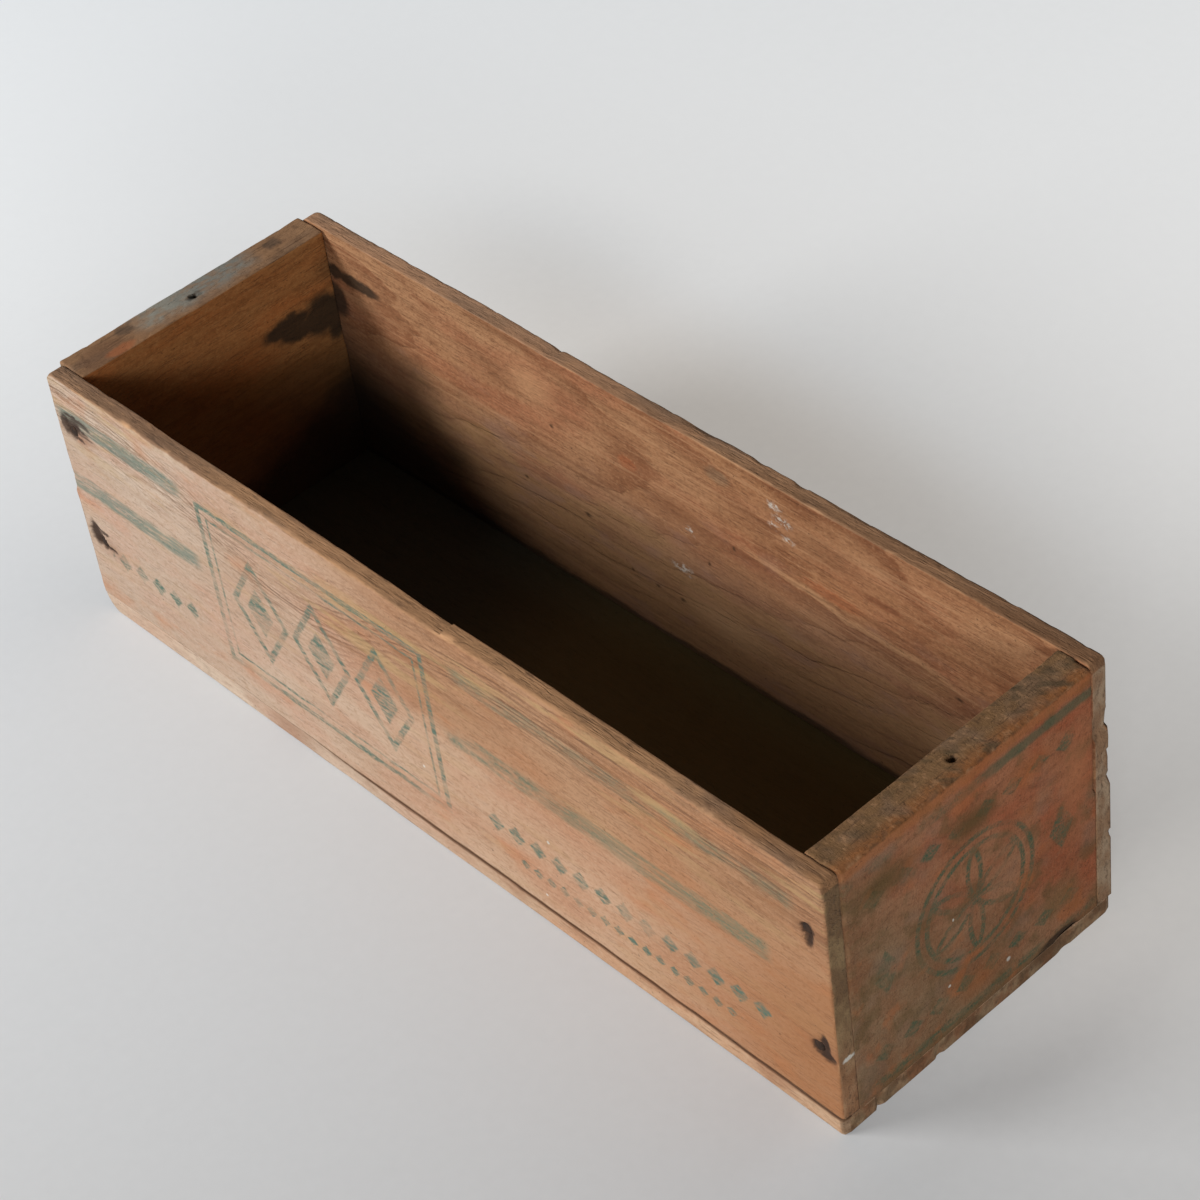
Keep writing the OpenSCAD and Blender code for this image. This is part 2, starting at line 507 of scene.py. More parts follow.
# %% [markdown]
# ## A board and its wear
# The boards differ only in numbers, so one class holds what they share. It keeps the sharp limits, which worn
# rims and broken ends draw in, the radius of every edge, and the depth of the dents. When the wear is done it
# makes the mesh, and lets six measures ride along on its points for the finish to read: how far the surface
# is end grain, how far it looks up, how far it is an arris (the ridge where two faces meet, unless a joint
# covers it), where a chip has bared fresh wood, where a dent has bruised it, and where a seam holds dirt.

# %% The board class
FREE_OF_JOINT = 6.0
MERGE_MM = 1e-3


class Board:
    """A board wrapped in a grid. Shares and limits run along, across and through it, in millimetres."""

    def __init__(self, node, order, counts):
        low, high = (corner[list(order)] for corner in box_mm(node))
        self.node = node
        self.order = order
        self.shares = wrapping_grid(high - low, counts)
        self.low, self.high = (
            np.broadcast_to(limit[:, None, None], self.shares.shape).copy() for limit in (low, high))
        self.flat = in_world(self.low + self.shares * (self.high - self.low), order)
        unworn = np.zeros((6, *self.shares.shape[1:]))
        self.cut, self.jointed, self.chipped, self.bared, self.bruised, self.seam = unworn

    def round_edges(self, lower, upper, chip, seed):
        """Edge radii: a pair (first face, second face) for the lower and upper edges, wandering by a third.

        Chips up to the given depth add to the wider radii where a noise rises above a level.
        """
        first = self.shares[2] < 0.5
        radius = np.where(self.shares[1] < 0.5, np.where(first, *lower), np.where(first, *upper))
        wander = 1 + 0.35 * smooth_noise(self.flat, 13, seed)
        broken = np.clip((smooth_noise(self.flat, (7, 4, 4), seed + 1) - 0.45) / 0.4, 0, 1)
        splintered = np.clip((smooth_noise(self.flat, (2.2, 2, 2), seed + 2) - 0.35) / 0.5, 0, 1)
        chips = (broken + 0.35 * splintered) * np.clip(radius - 0.3, 0, 1)
        self.radius = radius * wander + chip * chips
        self.chipped = np.clip(1.5 * chips, 0, 1)

    def ripple(self, depth, size, seed, joints):
        """Hand-planed faces are never flat: a shallow noise is taken off, but little close to a joint.

        The joints are the distance in mm to the nearest one.
        """
        free = np.clip(joints / FREE_OF_JOINT, 0.1, 1)
        self.cut += depth * free * (0.5 + 0.5 * smooth_noise(self.flat, size, seed))

    def dent(self, marks):
        """Cuts dents, and marks them as bruised wood."""
        depth = dents(self.flat, marks)
        self.cut += depth
        self.bruised = np.maximum(self.bruised, np.clip(depth / 0.6, 0, 1))

    def surface(self):
        """Points of the worn board and the outward direction at each.

        A point of the sharp board is clamped into the core, which is the board less the radius on every
        side, and set at one radius from there in the direction in which it lay. Then the cut goes inwards.
        """
        sharp = self.low + self.shares * (self.high - self.low)
        core = np.clip(sharp, self.low + self.radius, self.high - self.radius)
        outward = sharp - core
        outward = outward / np.linalg.norm(outward, axis=0)
        return core + (self.radius - self.cut) * outward, outward

    def piece(self, name, slot):
        """A closed mesh with one quad for each cell, riding on the box in place of its CAD node."""
        points, outward = self.surface()
        arris = np.clip((1 - np.abs(outward).max(axis=0)) / 0.25, 0, 1) * (1 - self.jointed)
        measures = {"end_grain": np.abs(outward[0]), "upward": in_world(outward, self.order)[..., 2],
                    "arris": arris, "fresh": np.maximum(self.chipped * arris, self.bared),
                    "bruised": self.bruised, "seam": self.seam}
        return add_piece(name, in_world(points, self.order), grid_quads(*self.cut.shape), measures,
                         self.node)


def add_piece(name, points, quads, measures, node):
    """A smooth object at the origin that rides on the box and stands for a CAD node.

    Points that meet are merged, which closes seams and poles, and the faces are turned outwards.
    """
    mesh = bpy.data.meshes.new(name)
    mesh.from_pydata((points * MM).reshape(-1, 3).tolist(), [], quads.tolist())
    for title, values in measures.items():
        layer = mesh.attributes.new(title, "FLOAT", "POINT")
        layer.data.foreach_set("value", values.astype(np.float32).ravel())
    shell = bmesh.new()
    shell.from_mesh(mesh)
    bmesh.ops.remove_doubles(shell, verts=shell.verts, dist=MERGE_MM * MM)
    bmesh.ops.recalc_face_normals(shell, faces=shell.faces)
    shell.to_mesh(mesh)
    shell.free()
    mesh.shade_smooth()
    piece = bpy.data.objects.new(name, mesh)
    bpy.context.scene.collection.objects.link(piece)
    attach(piece, "root")
    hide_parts(node)
    print(name, len(mesh.polygons), "faces")
    return piece


# %% [markdown]
# ## Where the nails are
# The nails' places come from the frame: a group's box reaches from head to head, so the first and last head
# lie one head radius inside it. Everything that a nail does to the wood round it, such as bruises, stains and
# splits, is measured from there.

# %% Nail heads from the frame
def row_of_heads(node, axis, count):
    """Places of a group's nail heads along an axis, evenly spaced between its first and last head."""
    low, high = box_mm(node)
    return np.linspace(low[axis] + nail_head_r, high[axis] - nail_head_r, count)


front_low, front_high = box_mm("front_right_nails")
nail_head_r = (front_high[0] - front_low[0]) / 2
side_nail_x = (front_high[0] + front_low[0]) / 2
low_nail_z, high_nail_z = row_of_heads("front_right_nails", 2, 2)
side_sink = half_w + front_low[1]
print("side nails at x", round(side_nail_x, 1), "z", round(low_nail_z, 1), round(high_nail_z, 1))

# %% [markdown]
# ## The front side
# The front is a thin board the length of the box. Its rim has been rubbed into waves, a sliver has torn off
# the rim near the middle, its outer edge has flaked, and a hammer has bruised the wood round each nail head,
# tearing it out along the grain. Under the front the seam to the bottom board wanders and opens to the right,
# so both boards take its line and its dirt from the same functions.

# %% Wear of both sides, and the front
SIDE_GRID = (352, 120, 13)
JOINT_EDGE = 0.8
NAIL_BRUISE = side_sink + 0.25


def seam_wave(along):
    """How far the seam under the front wanders up along the box, in mm."""
    places = np.stack([along, np.zeros_like(along), np.zeros_like(along)], axis=-1)
    return 0.4 * (1 + smooth_noise(places, 34, 8)) + 0.18 * (1 + smooth_noise(places, 9, 9))


def seam_radius(along):
    """The seam under the front has closed at the left and gapes towards the right."""
    share = np.clip((along + 85) / 120, 0, 1)
    return 0.06 + 0.6 * share * share * (3 - 2 * share)


def seam_dirt(along, away):
    """How dirty the wood is beside the seam: 1 at it, 0 at 1.6 mm away and where the seam has closed."""
    return np.clip(1 - away / 1.6, 0, 1) * np.clip((along + 90) / 70, 0, 1)


def worn_side(node, hollow_places, corners, upper, seed):
    """What both sides share: a rubbed rim, round top corners, chipped edges and gently rippled faces.

    The corners are a pair of radii, left and right.
    """
    board = Board(node, SIDE, SIDE_GRID)
    along = board.flat[..., 0]
    inner_face = np.abs(board.flat[..., 1]) < half_w - side_t + JOINT_EDGE
    board.jointed = inner_face * (np.abs(along) > half_l - end_t)
    rubbed = hollows(along, hollow_places * half_l, 62, 0.3)
    rubbed += 0.16 * (1 + smooth_noise(board.flat * [1, 0, 0], 19, seed + 5))
    rubbed += 0.09 * (1 + smooth_noise(board.flat * [1, 0, 0], 4.5, seed + 6))
    rubbed += 0.07 * (1 + smooth_noise(board.flat * [1, 1, 0], 2.2, seed + 7))
    board.high[1] -= rubbed + corner_loss(half_l - np.abs(along), np.where(along < 0, *corners))
    board.round_edges((seam_radius(along), 0.06), upper, 1.3, seed)
    board.ripple(0.25, (60, 20, 14), seed + 3, half_l - np.abs(along))
    return board


def nail_bruises(face_y):
    """Round dents that bare the four heads of a side."""
    return [((x, face_y, z), (2.5, 4, 2.8), NAIL_BRUISE)
            for x in (-side_nail_x, side_nail_x) for z in (low_nail_z, high_nail_z)]


front = worn_side("front_side", np.array([-0.55, 0.1, 0.62]), (3.4, 2.2), (1.0, 0.55), seed=11)
front.high[1] -= torn(front.flat[..., 0], -12, 18, 0.9)
front.low[1] += seam_wave(front.flat[..., 0])
front.seam = seam_dirt(front.flat[..., 0], front.flat[..., 2] - bottom_t)
height_only = front.flat * [0, 0, 1]
front.low[0] += 0.3 * (1 + smooth_noise(height_only, 12, 17))
front.low[0] += 0.12 * (1 + smooth_noise(height_only, 3, 18))
front.dent(nail_bruises(-half_w))
front.dent([
    ((-side_nail_x + 0.5, -half_w, high_nail_z + 3.0), (5.0, 3, 3.4), 0.5),
    ((-side_nail_x + 4.5, -half_w, high_nail_z + 5.2), (7.0, 3, 1.2), 0.45),
    ((-side_nail_x + 4.5, -half_w, high_nail_z + 1.2), (7.5, 3, 1.0), 0.4),
    ((-side_nail_x - 2.6, -half_w, low_nail_z + 2.6), (4.0, 3, 5.2), 0.5),
    ((-side_nail_x + 2.4, -half_w, low_nail_z - 1.0), (6.0, 3, 1.3), 0.4),
    ((side_nail_x + 0.5, -half_w, high_nail_z - 1.6), (2.0, 3, 5.6), 0.5),
    ((side_nail_x + 2.6, -half_w, low_nail_z + 1.4), (2.4, 3, 5.0), 0.5),
    ((side_nail_x + 3.6, -half_w, low_nail_z - 1.6), (3.6, 3, 2.2), 0.5),
])
front_board = front.piece("front_board", "front_wood")

# %% [markdown]
# ## The back side
# The back is the same board turned round. At its right end it has split along the grain: above the split the
# end of the board has broken off a little short, and at the split a bite is missing. The break draws in the
# board's limit along its length, so the end cap follows it.

# %% Wear the back side
SPLIT_Z = 65.0
BITE_H = 8.0
SPLIT_SET = 0.6
BITE_SET = 0.9


def split_end(board):
    """How far the right end is set back: one step above the split, and a deeper bite that closes upwards."""
    above = board.flat[..., 2] - SPLIT_Z + 0.4 * smooth_noise(board.flat, (4, 1.5, 3), 31)
    step_back = np.clip(above / 0.4, 0, 1)
    bite = step_back * np.clip(1 - above / BITE_H, 0, 1) ** 0.6
    nicks = hollows(board.flat[..., 2], [28.5, 49.0, 58.0], 3.2, 0.7) * (board.flat[..., 1] > half_w - 3)
    near_end = board.flat[..., 0] > 0
    lost = SPLIT_SET * step_back + BITE_SET * bite + nicks
    return np.where(near_end, lost, 0), np.where(near_end, bite, 0)


back = worn_side("back_side", np.array([-0.2, 0.45]), (4.6, 2.2), (0.55, 1.0), seed=21)
back.high[1] -= torn(back.flat[..., 0], -64, -41, 0.35)
set_back, bitten = split_end(back)
back.high[0] -= set_back
back.bared = bitten * (back.flat[..., 0] > half_l - 4)
back.dent(nail_bruises(half_w))
back_board = back.piece("back_board", "back_wood")

# %% [markdown]
# ## The ends
# The ends are twice as thick as the sides and stand between them. Their rims are broad enough to show what
# lay on them: the lid rested here, and the hole of its nail is still open in the middle of each. The outer
# edge of each rim is rubbed round. The holes are read from the record, which lists them as mounts.

# %% Wear the ends
END_GRID = (170, 120, 34)
LID_HOLE_R = 1.25
LID_HOLE_SHOWN = 4.0
lid_holes = {mount["name"].split("_")[0]: np.array(mount["pos_m"][:2]) / MM
             for mount in frame["record"]["mounts"] if mount["name"].endswith("lid_nail_hole")}


def worn_end(side, settle, upper, seed):
    """An end whose rim has settled a little below the sides', with rubbed edges, dings and its lid hole.

    It has settled by a pair of amounts, at the rim's low-x and high-x edges.
    """
    board = Board(side + "_end", END, END_GRID)
    board.high[1] -= settle[0] + (settle[1] - settle[0]) * board.shares[2]
    board.high[1] -= 0.14 * (1 + smooth_noise(board.flat * [0, 1, 0], 15, seed + 5))
    to_sides = half_w - side_t - np.abs(board.flat[..., 1])
    to_bottom = board.flat[..., 2] - bottom_t
    board.jointed = ((to_sides < JOINT_EDGE) | (to_bottom < JOINT_EDGE)) * 1.0
    board.round_edges((0.05, 0.05), upper, 0.6, seed)
    board.ripple(0.3, (12, 34, 16), seed + 3, np.minimum(to_sides, to_bottom))
    on_rim = board.flat[..., 2] > box_h - 2
    dings = np.clip(smooth_noise(board.flat, (2.6, 3.4, 3), seed + 7) - 0.35, 0, 1)
    board.cut += 0.35 * dings * on_rim
    board.dent([((*lid_holes[side], box_h), (LID_HOLE_R, LID_HOLE_R, 4), LID_HOLE_SHOWN)])
    return board


left = worn_end("left", (0.35, 0.95), (0.8, 0.6), seed=41)
left_end_board = left.piece("left_end_board", "left_end_wood")
right = worn_end("right", (0.15, 0.3), (0.6, 1.4), seed=51)
right.dent([((half_l, 32, 5.6), (3, 5.5, 1.4), 0.5)])
right_end_board = right.piece("right_end_board", "right_end_wood")

# %% [markdown]
# ## The bottom
# The bottom is nailed on from below and closes the box. It shows as a narrow strip along the front, parted
# from it by a dark seam, and its corners are the first to be knocked. Bites are missing from both its ends.

# %% Wear the bottom
BOTTOM_GRID = (340, 110, 11)
base = Board("bottom_board", BOTTOM, BOTTOM_GRID)
base_x, base_y, base_z = np.moveaxis(base.flat, -1, 0)
knocked = corner_loss(half_l - np.abs(base_x), np.where(base_x < 0, 0.6, 1.8))
base.low[1] += knocked
base.high[1] -= knocked
for bite_y, bite_w, bite_d in ((-38, 2.6, 1.0), (-16, 3.6, 0.6), (32, 5.0, 0.4)):
    base.high[0] -= hollows(base_y, [bite_y], bite_w, bite_d) * (base_x > 0)
    base.low[0] += hollows(base_y, [-bite_y + 7], bite_w, bite_d) * (base_x < 0)
base.high[2] += seam_wave(base_x) * (base_y < -half_w + side_t)
base.low[0] += corner_loss(base_z, 6.5) * np.clip((-base_y - half_w + 16) / 10, 0, 1)
base.jointed = (base_z > bottom_t - JOINT_EDGE) * (base_y > -half_w + side_t)
base.round_edges((0.55, 0.8 * seam_radius(base_x)), (0.55, 0.05), 0.4, seed=61)
base.ripple(0.2, (50, 16, 20), 64, half_l - np.abs(base_x))
base.seam = seam_dirt(base_x, bottom_t - base_z) * (base_y < -half_w + 1)
bottom_sink = box_mm("bottom_left_nails")[0][2]
bottom_nail_x = box_mm("bottom_right_nails")[1][0] - nail_head_r
base.dent([((x, y, 0), (3.2, 3.2, 4), bottom_sink + 0.3)
           for x in (-bottom_nail_x, bottom_nail_x) for y in row_of_heads("bottom_left_nails", 1, 3)])
base_board = base.piece("base_board", "bottom_wood")

# %% [markdown]
# ## The nails
# A nail's head is a small flat disc that the hammer has left uneven. Each nail is a profile turned round its
# axis: over the head, under it, along the shank and to the point. A group of nails is one piece, as in the
# frame.

# %% Turn the nails
TURN = 28
HEAD_T = 0.8
SHANK_SHARE = 0.46
POINT_L = 3


def turned_nail(length, seed):
    """Points of one nail, head at 0 and point at length: a profile of radius and depth, carried round.

    Noise about the angle makes the head uneven in outline and in height.
    """
    shank_r = SHANK_SHARE * nail_head_r
    radius = np.array([0, 0.35, 0.7, 0.92, 1.0, 0.98, 0.5]) * nail_head_r
    depth = np.array([0, 0.02, 0.08, 0.2, 0.45, HEAD_T, HEAD_T])
    radius = np.concatenate([radius, [shank_r, shank_r, shank_r, 0]])
    depth = np.concatenate([depth, [HEAD_T + 0.1, length / 2, length - POINT_L, length]])
    angle = np.linspace(0, 2 * np.pi, TURN, endpoint=False)
    ring = np.stack([np.cos(angle), np.sin(angle)], -1)
    along = np.broadcast_to(depth[:, None, None], (len(depth), TURN, 1))
    places = np.concatenate([radius[:, None, None] * ring, along], -1)
    uneven = smooth_noise(places, 0.9, seed)
    on_head = depth[:, None] < HEAD_T
    places[..., :2] *= (1 - 0.05 * (1 + uneven) * on_head)[..., None]
    places[..., 2] += 0.07 * (1 + uneven) * on_head
    return places


def nail_group(name, node, heads, inwards, seed):
    """All nails of a joint: each turned nail is laid along its direction at its head's place."""
    low, high = box_mm(node)
    depth_axis = int(np.argmax(np.abs(inwards)))
    length = high[depth_axis] - low[depth_axis]
    other = [axis for axis in range(3) if axis != depth_axis]
    points, faces = [], []
    for number, head in enumerate(heads):
        nail = turned_nail(length, seed + number)
        placed = np.empty_like(nail)
        placed[..., other] = nail[..., :2] + np.array(head)[other]
        placed[..., depth_axis] = head[depth_axis] + inwards[depth_axis] * nail[..., 2]
        faces.append(grid_quads(*nail.shape[:2]) + sum(len(earlier) for earlier in points))
        points.append(placed.reshape(-1, 3))
    return add_piece(name, np.concatenate(points), np.concatenate(faces), {}, node)


nails = []
for side, face_y, inwards in (("front", -half_w, 1), ("back", half_w, -1)):
    for end, x in (("left", -side_nail_x), ("right", side_nail_x)):
        heads = [(x, face_y + inwards * side_sink, z) for z in (low_nail_z, high_nail_z)]
        node = f"{side}_{end}_nails"
        nails.append(nail_group(node + "_rusted", node, heads, (0, inwards, 0), seed=70 + len(nails)))
for end in ("left", "right"):
    node = f"bottom_{end}_nails"
    low, high = box_mm(node)
    heads = [((low[0] + high[0]) / 2, y, low[2]) for y in row_of_heads(node, 1, 3)]
    nails.append(nail_group(node + "_rusted", node, heads, (0, 0, 1), seed=90 + len(nails)))

# %% [markdown]
# ## Rust
# Old nail heads are nearly black, with brown rust where the damp has sat. Rust is a rough oxide, not a shiny
# metal, so the shader stays unmetallic.

# %% Rusted iron
RUST_RELIEF = 0.12
rust, place = new_finish("rusted_iron")
blotch = noise(place, (0.9, 0.9, 0.9), 1, 3)
grit = noise(place, (0.2, 0.2, 0.2), 2, 2)
colour = mix(step(blotch, 0.42, 0.66), paint(48, 36, 29), paint(66, 47, 35))
colour = mix(step(grit, 0.55, 0.75) * 0.35, colour, paint(90, 62, 43))
lay(rust, nails, colour, grit * 0.2 + 0.75, grit + blotch, RUST_RELIEF)

# %% [markdown]
# ## Dirt, painted shade, rims and end grain
# What years of handling do is the same on every board. Rims go grey-brown and streaky, arrises are rubbed
# pale, chips bare lighter wood, end grain drinks dirt and darkens, and dents hold grime. Inner faces darken
# towards the bottom, with dirt and with painted shade. These layers take any board's colour and lay the same
# story over it.

# %% Layers that every board shares
BOARD_RELIEF = 0.4
FRESH_WOOD = paint(214, 164, 120)
END_DARK = paint(74, 58, 44)
# Dark dirt, which is also the colour of painted shade and shadow inside the box
GRIME_AND_SHADE = paint(48, 34, 21)
DUST_WHITE = paint(226, 220, 208)
# Soot, which is also the near-black of painted shadow low in the back corner
SOOT_AND_SHADE = paint(32, 29, 22)
SEAM_BROWN = paint(108, 70, 44)
SEAM_DARK = paint(62, 38, 24)


def weathered_rim(colour, place, grain, tan, seed, mottled=1.0):
    """Greys every face that looks up, in streaks along the grain between a tan and a darker brown.

    The mottled share turns down the fine spots and cracks.
    """
    streaks = noise(grain, (26, 1.6, 1.6), seed, 3)
    mottle = noise(grain, (4.5, 2.2, 2.2), seed + 1, 5)
    clouds = noise(grain, (26, 9, 9), seed + 2, 2)
    cracks = step(noise(grain, (14, 0.6, 0.6), seed + 3, 3), 0.56, 0.68)
    rim = layers(
        tan,
        (step(streaks, 0.48, 0.74) * 0.35, paint(118, 86, 62)),
        (step(clouds, 0.48, 0.66) * 0.5, paint(136, 112, 92)),
        (step(mottle, 0.46, 0.3) * (0.5 * mottled), paint(200, 152, 110)),
        (step(mottle, 0.55, 0.71) * (0.6 * mottled), paint(98, 72, 52)),
        (cracks * (0.45 * mottled), paint(72, 52, 38)))
    up = step(measure(place, "upward") + (mottle - 0.5) * 0.9, 0.3, 0.8)
    return mix(up * 0.9, colour, rim)


def worn_arris(colour, place, grain, seed):
    """Rubs arrises pale in places and leaves them dirty in others, and bares fresh wood in chips."""
    arris = measure(place, "arris")
    patch = noise(grain, (12, 5, 5), seed, 4)
    return layers(
        colour,
        (arris * step(patch, 0.5, 0.64) * 0.45, FRESH_WOOD),
        (arris * step(patch, 0.47, 0.34) * 0.4, paint(96, 72, 54)),
        (measure(place, "fresh") * (step(patch, 0.38, 0.56) * 0.6 + 0.1), FRESH_WOOD))


def dirty_seam(colour, place, grain, seed):
    """Dirt in and along the open seam, with a ragged edge."""
    dirt = measure(place, "seam") + (noise(grain, (5, 0.9, 0.9), seed, 4) - 0.5) * 0.6
    return layers(
        colour,
        (step(dirt, 0.3, 0.7) * 0.75, SEAM_BROWN),
        (step(dirt, 0.6, 0.95) * measure(place, "arris"), SEAM_DARK))


def bruises(colour, place, grain, tone, seed):
    """Darkens dents, with a ragged edge that runs out along the grain."""
    frayed = measure(place, "bruised") + (noise(grain, (4, 0.9, 0.9), seed, 4) - 0.5)
    return mix(step(frayed, 0.1, 0.9) * 0.85, colour, tone)


def end_grain(colour, place, grey, brown, seed):
    """Sawn ends: grey and brown clouds, dark in the pores."""
    pits = noise(place, (1.3, 1.1, 1.8), seed, 4)
    clouds = noise(place, (9, 5, 9), seed + 1, 4)
    ends = layers(
        grey,
        (step(clouds, 0.38, 0.62), brown),
        (step(pits, 0.5, 0.75) * 0.6, END_DARK))
    return mix(step(measure(place, "end_grain"), 0.72, 0.95) * 0.92, colour, ends)


def inside_dirt_and_shade(colour, grain, z, inside, strength, seed):
    """Old dirt and painted shade inside: purple-brown first, then nearly black, with ragged tide marks."""
    level = z + (noise(grain, (34, 13, 13), seed, 4) - 0.5) * 40
    return layers(
        colour,
        (inside * step(level, 62, 36) * 0.4, paint(158, 118, 92)),
        (inside * step(level, 40, 4) * strength, GRIME_AND_SHADE))


def speckle(colour, place, seed):
    """Dark specks of about a millimetre thrown over a surface."""
    specks = step(noise(place, (1.1, 1.1, 1.1), seed, 1), 0.73, 0.79)
    return mix(specks * 0.5, colour, GRIME_AND_SHADE)


def nail_halo(x, z):
    """Rust that has crept from the four nails of a side, farther along the grain than across it."""
    return spots(x, z, [(side * side_nail_x + 3, height, 11, 6)
                        for side in (-1, 1) for height in (low_nail_z, high_nail_z)], 1.0)


# %% [markdown]
# ## Faded printing
# Such boxes were printed straight on the bare wood. Here the design is a plain one: stripes, a ruled panel
# with lozenges, rows of small lozenges and a rosette. Each figure is a mask from distances in millimetres.
# The ink has gone wherever the wood was rubbed, so masks of patches, grit and broken streaks along the grain
# eat it away.

# %% Figures of the print
def rule(across, up, start, end, height, half):
    """A straight stripe from start to end at a height."""
    return band(across, (start + end) / 2, (end - start) / 2, 5.0) * band(up, height, half, 1.6)


def frame_line(across, up, centre, halves, half):
    """The outline of a rectangle: where the larger of the two insets is near zero."""
    inset = (abs(across - centre[0]) - halves[0]).at_least(abs(up - centre[1]) - halves[1])
    return band(inset, 0.0, half, 0.6)


def lozenge(across, up, centre, halves):
    """The size of a lozenge through each place: 1 on its outline, less inside."""
    return abs(across - centre[0]) / halves[0] + abs(up - centre[1]) / halves[1]


def lozenge_row(across, up, start, end, height, pitch, half):
    """A row of small lozenges: the place along the row is folded into one pitch."""
    pitches = across / pitch
    along = pitches.math("FRACT", pitches)
    small = step(lozenge(along, up, (0.5, height), (0.38, half)), 1.2, 0.85)
    return small * band(across, (start + end) / 2, (end - start) / 2, 1.0)


def worn_ink(mask, grain, seed):
    """Ink that is left: broken into streaks along the grain, thinned by grit and gone in whole patches."""
    streaks = step(noise(grain, (13, 0.9, 0.9), seed, 3), 0.34, 0.6)
    patches = step(noise(grain, (24, 7, 7), seed + 1, 3), 0.34, 0.56)
    grit = step(noise(grain, (1.5, 0.8, 0.8), seed + 2, 3), 0.34, 0.58)
    return mask * (streaks * 0.65 + 0.35) * (patches * 0.75 + 0.25) * (grit * 0.6 + 0.4)


def faded_stripe(mask, grain, seed):
    """Ink of a broad stripe, laid on thinly: cloudy, gone in whole patches, speckled by the wood's tooth."""
    patches = step(noise(grain, (22, 6, 6), seed, 3), 0.34, 0.52)
    clouds = step(noise(grain, (7, 2.6, 2.6), seed + 1, 4), 0.28, 0.5)
    tooth = step(noise(grain, (1.4, 0.8, 0.8), seed + 2, 3), 0.3, 0.6)
    streaks = step(noise(grain, (11, 0.7, 0.7), seed + 3, 3), 0.36, 0.6)
    return mask * (patches * 0.8 + 0.12) * clouds * (tooth * 0.6 + 0.4) * (streaks * 0.6 + 0.4)


# %% [markdown]
# ## The front's finish
# The front was cut so that its rings run as a dense band of dark lines, which dips near the middle of the
# board. Below the band the wood is smooth and pink. The left is a little bleached, the right warmer. The band
# is a bell curve of the height above a line that dips, and it carries the ring lines and the streaks.

# %% Front wood
NAIL_STAIN = paint(58, 39, 28)
front_wood, place = new_finish("front_wood")
x, y, z = axes(place)
grain = vector(x, z, y)
outside = step(y, -half_w + side_t * 0.6, -half_w + 1.2)
dip = (x + 50) / 48
ring_line = 66 - 19 * exponential(dip * dip * -1.0)
sway = (noise(grain, (90, 34, 34), 3, 2) - 0.5) * 10
shake = (noise(grain, (12, 2.4, 2.4), 4, 2) - 0.5) * 2.0
offset = z - ring_line + sway + y * 0.25
near_band = offset / 12
dense = exponential(near_band * near_band * -1.0)
broken = step(noise(grain, (24, 3.5, 3.5), 5, 3), 0.3, 0.62)
rings = late_wood(offset / 1.7 + shake, 5) * (dense * 0.85 + 0.06) * broken
dashes = step(noise(grain, (15, 0.8, 0.8), 8, 2), 0.56, 0.68) * dense * 0.5
bleached = step(x, 70, -140)
browned = any_of(step(z + sway, 40, 58) * step(x, -50, 15), step(x - z * 0.2 + sway, 95, 140)) * 0.85
tones = between(
    browned,
    between(
        bleached,
        paints((172, 126, 94), (196, 153, 121), (208, 172, 142), (196, 144, 112)),
        paints((174, 144, 119), (196, 169, 147), (208, 188, 168), (204, 163, 141))),
    paints((140, 98, 66), (172, 126, 90), (186, 142, 106), (176, 120, 80)))
colour, height = old_wood(grain, tones, paint(112, 76, 52), any_of(rings, dashes), 6, dense * 0.6 + 0.4)
orange = step(noise(grain, (20, 9, 9), 10, 3), 0.54, 0.72)
straw = step(noise(grain, (30, 4.5, 4.5), 11, 4), 0.52, 0.66)
smoked = step(noise(grain, (34, 3.4, 3.4), 29, 4), 0.54, 0.68)
amber = step(x, 60, 128) * step(z + sway, 68, 46)
colour = layers(
    colour,
    (orange * 0.4, paint(198, 126, 80)),
    (straw * (dense * 0.5 + 0.15), paint(192, 160, 112)),
    (smoked * (dense * 0.5 + 0.08), paint(142, 98, 64)),
    (amber * 0.5, paint(168, 110, 66)))

# %% [markdown]
# The print lies over the bare wood: two stripes at each side, a panel with three lozenges left of the middle,
# and rows of small lozenges below. Fine noise in the height keeps its edges from being ruler-straight, as ink
# creeps along the fibres. The stripes at the left have kept a solid coat.

# %% The front's print
INK_TEAL = paint(86, 116, 102)
STRIPE_TEAL = paint(110, 128, 116)
STRIPE_OLIVE = paint(118, 122, 98)
PANEL = (-38, 46)
LOZENGES = [(PANEL[0] + aside, PANEL[1]) for aside in (-26, 0, 26)]
up = z + (noise(grain, (7, 1.8, 1.8), 9, 3) - 0.5) * 2.2
left_stripes = any_of(rule(x, up, -146, -92, 74.5, 2.9), rule(x, up, -154, -90, 49.5, 3.0))
low_stripe = rule(x, up, 14, 128, 51.0, 3.4)
right_stripes = any_of(rule(x, up, 20, 138, 75.0, 2.8) * 0.7, low_stripe)
thin_ink = step(noise(grain, (9, 0.9, 0.9), 30, 4), 0.34, 0.58) * 0.75
solid = any_of(left_stripes, low_stripe * step(x, 34, 60) * 0.75)
stripes = any_of(faded_stripe(any_of(left_stripes, right_stripes), grain, 17), solid * thin_ink)
print_mask = any_of(
    frame_line(x, up, PANEL, (46, 28), 0.95),
    frame_line(x, up, PANEL, (42.5, 24.5), 0.4),
    *[band(lozenge(x, up, middle, (11, 17)), 1.0, 0.11, 0.08) for middle in LOZENGES],
    *[step(lozenge(x, up, middle, (5.5, 8.5)), 1.1, 0.9) for middle in LOZENGES],
    lozenge_row(x, up, 24, 128, 27.5, 8.0, 3.2),
    lozenge_row(x, up, 36, 116, 18.0, 5.0, 1.8),
    lozenge_row(x, up, -138, -98, 26.0, 8.0, 3.2))
colour = layers(
    colour,
    (stripes * outside, mix(step(x, -60, 60), STRIPE_TEAL, STRIPE_OLIVE)),
    (worn_ink(print_mask, grain, 12) * outside * 0.95, INK_TEAL))

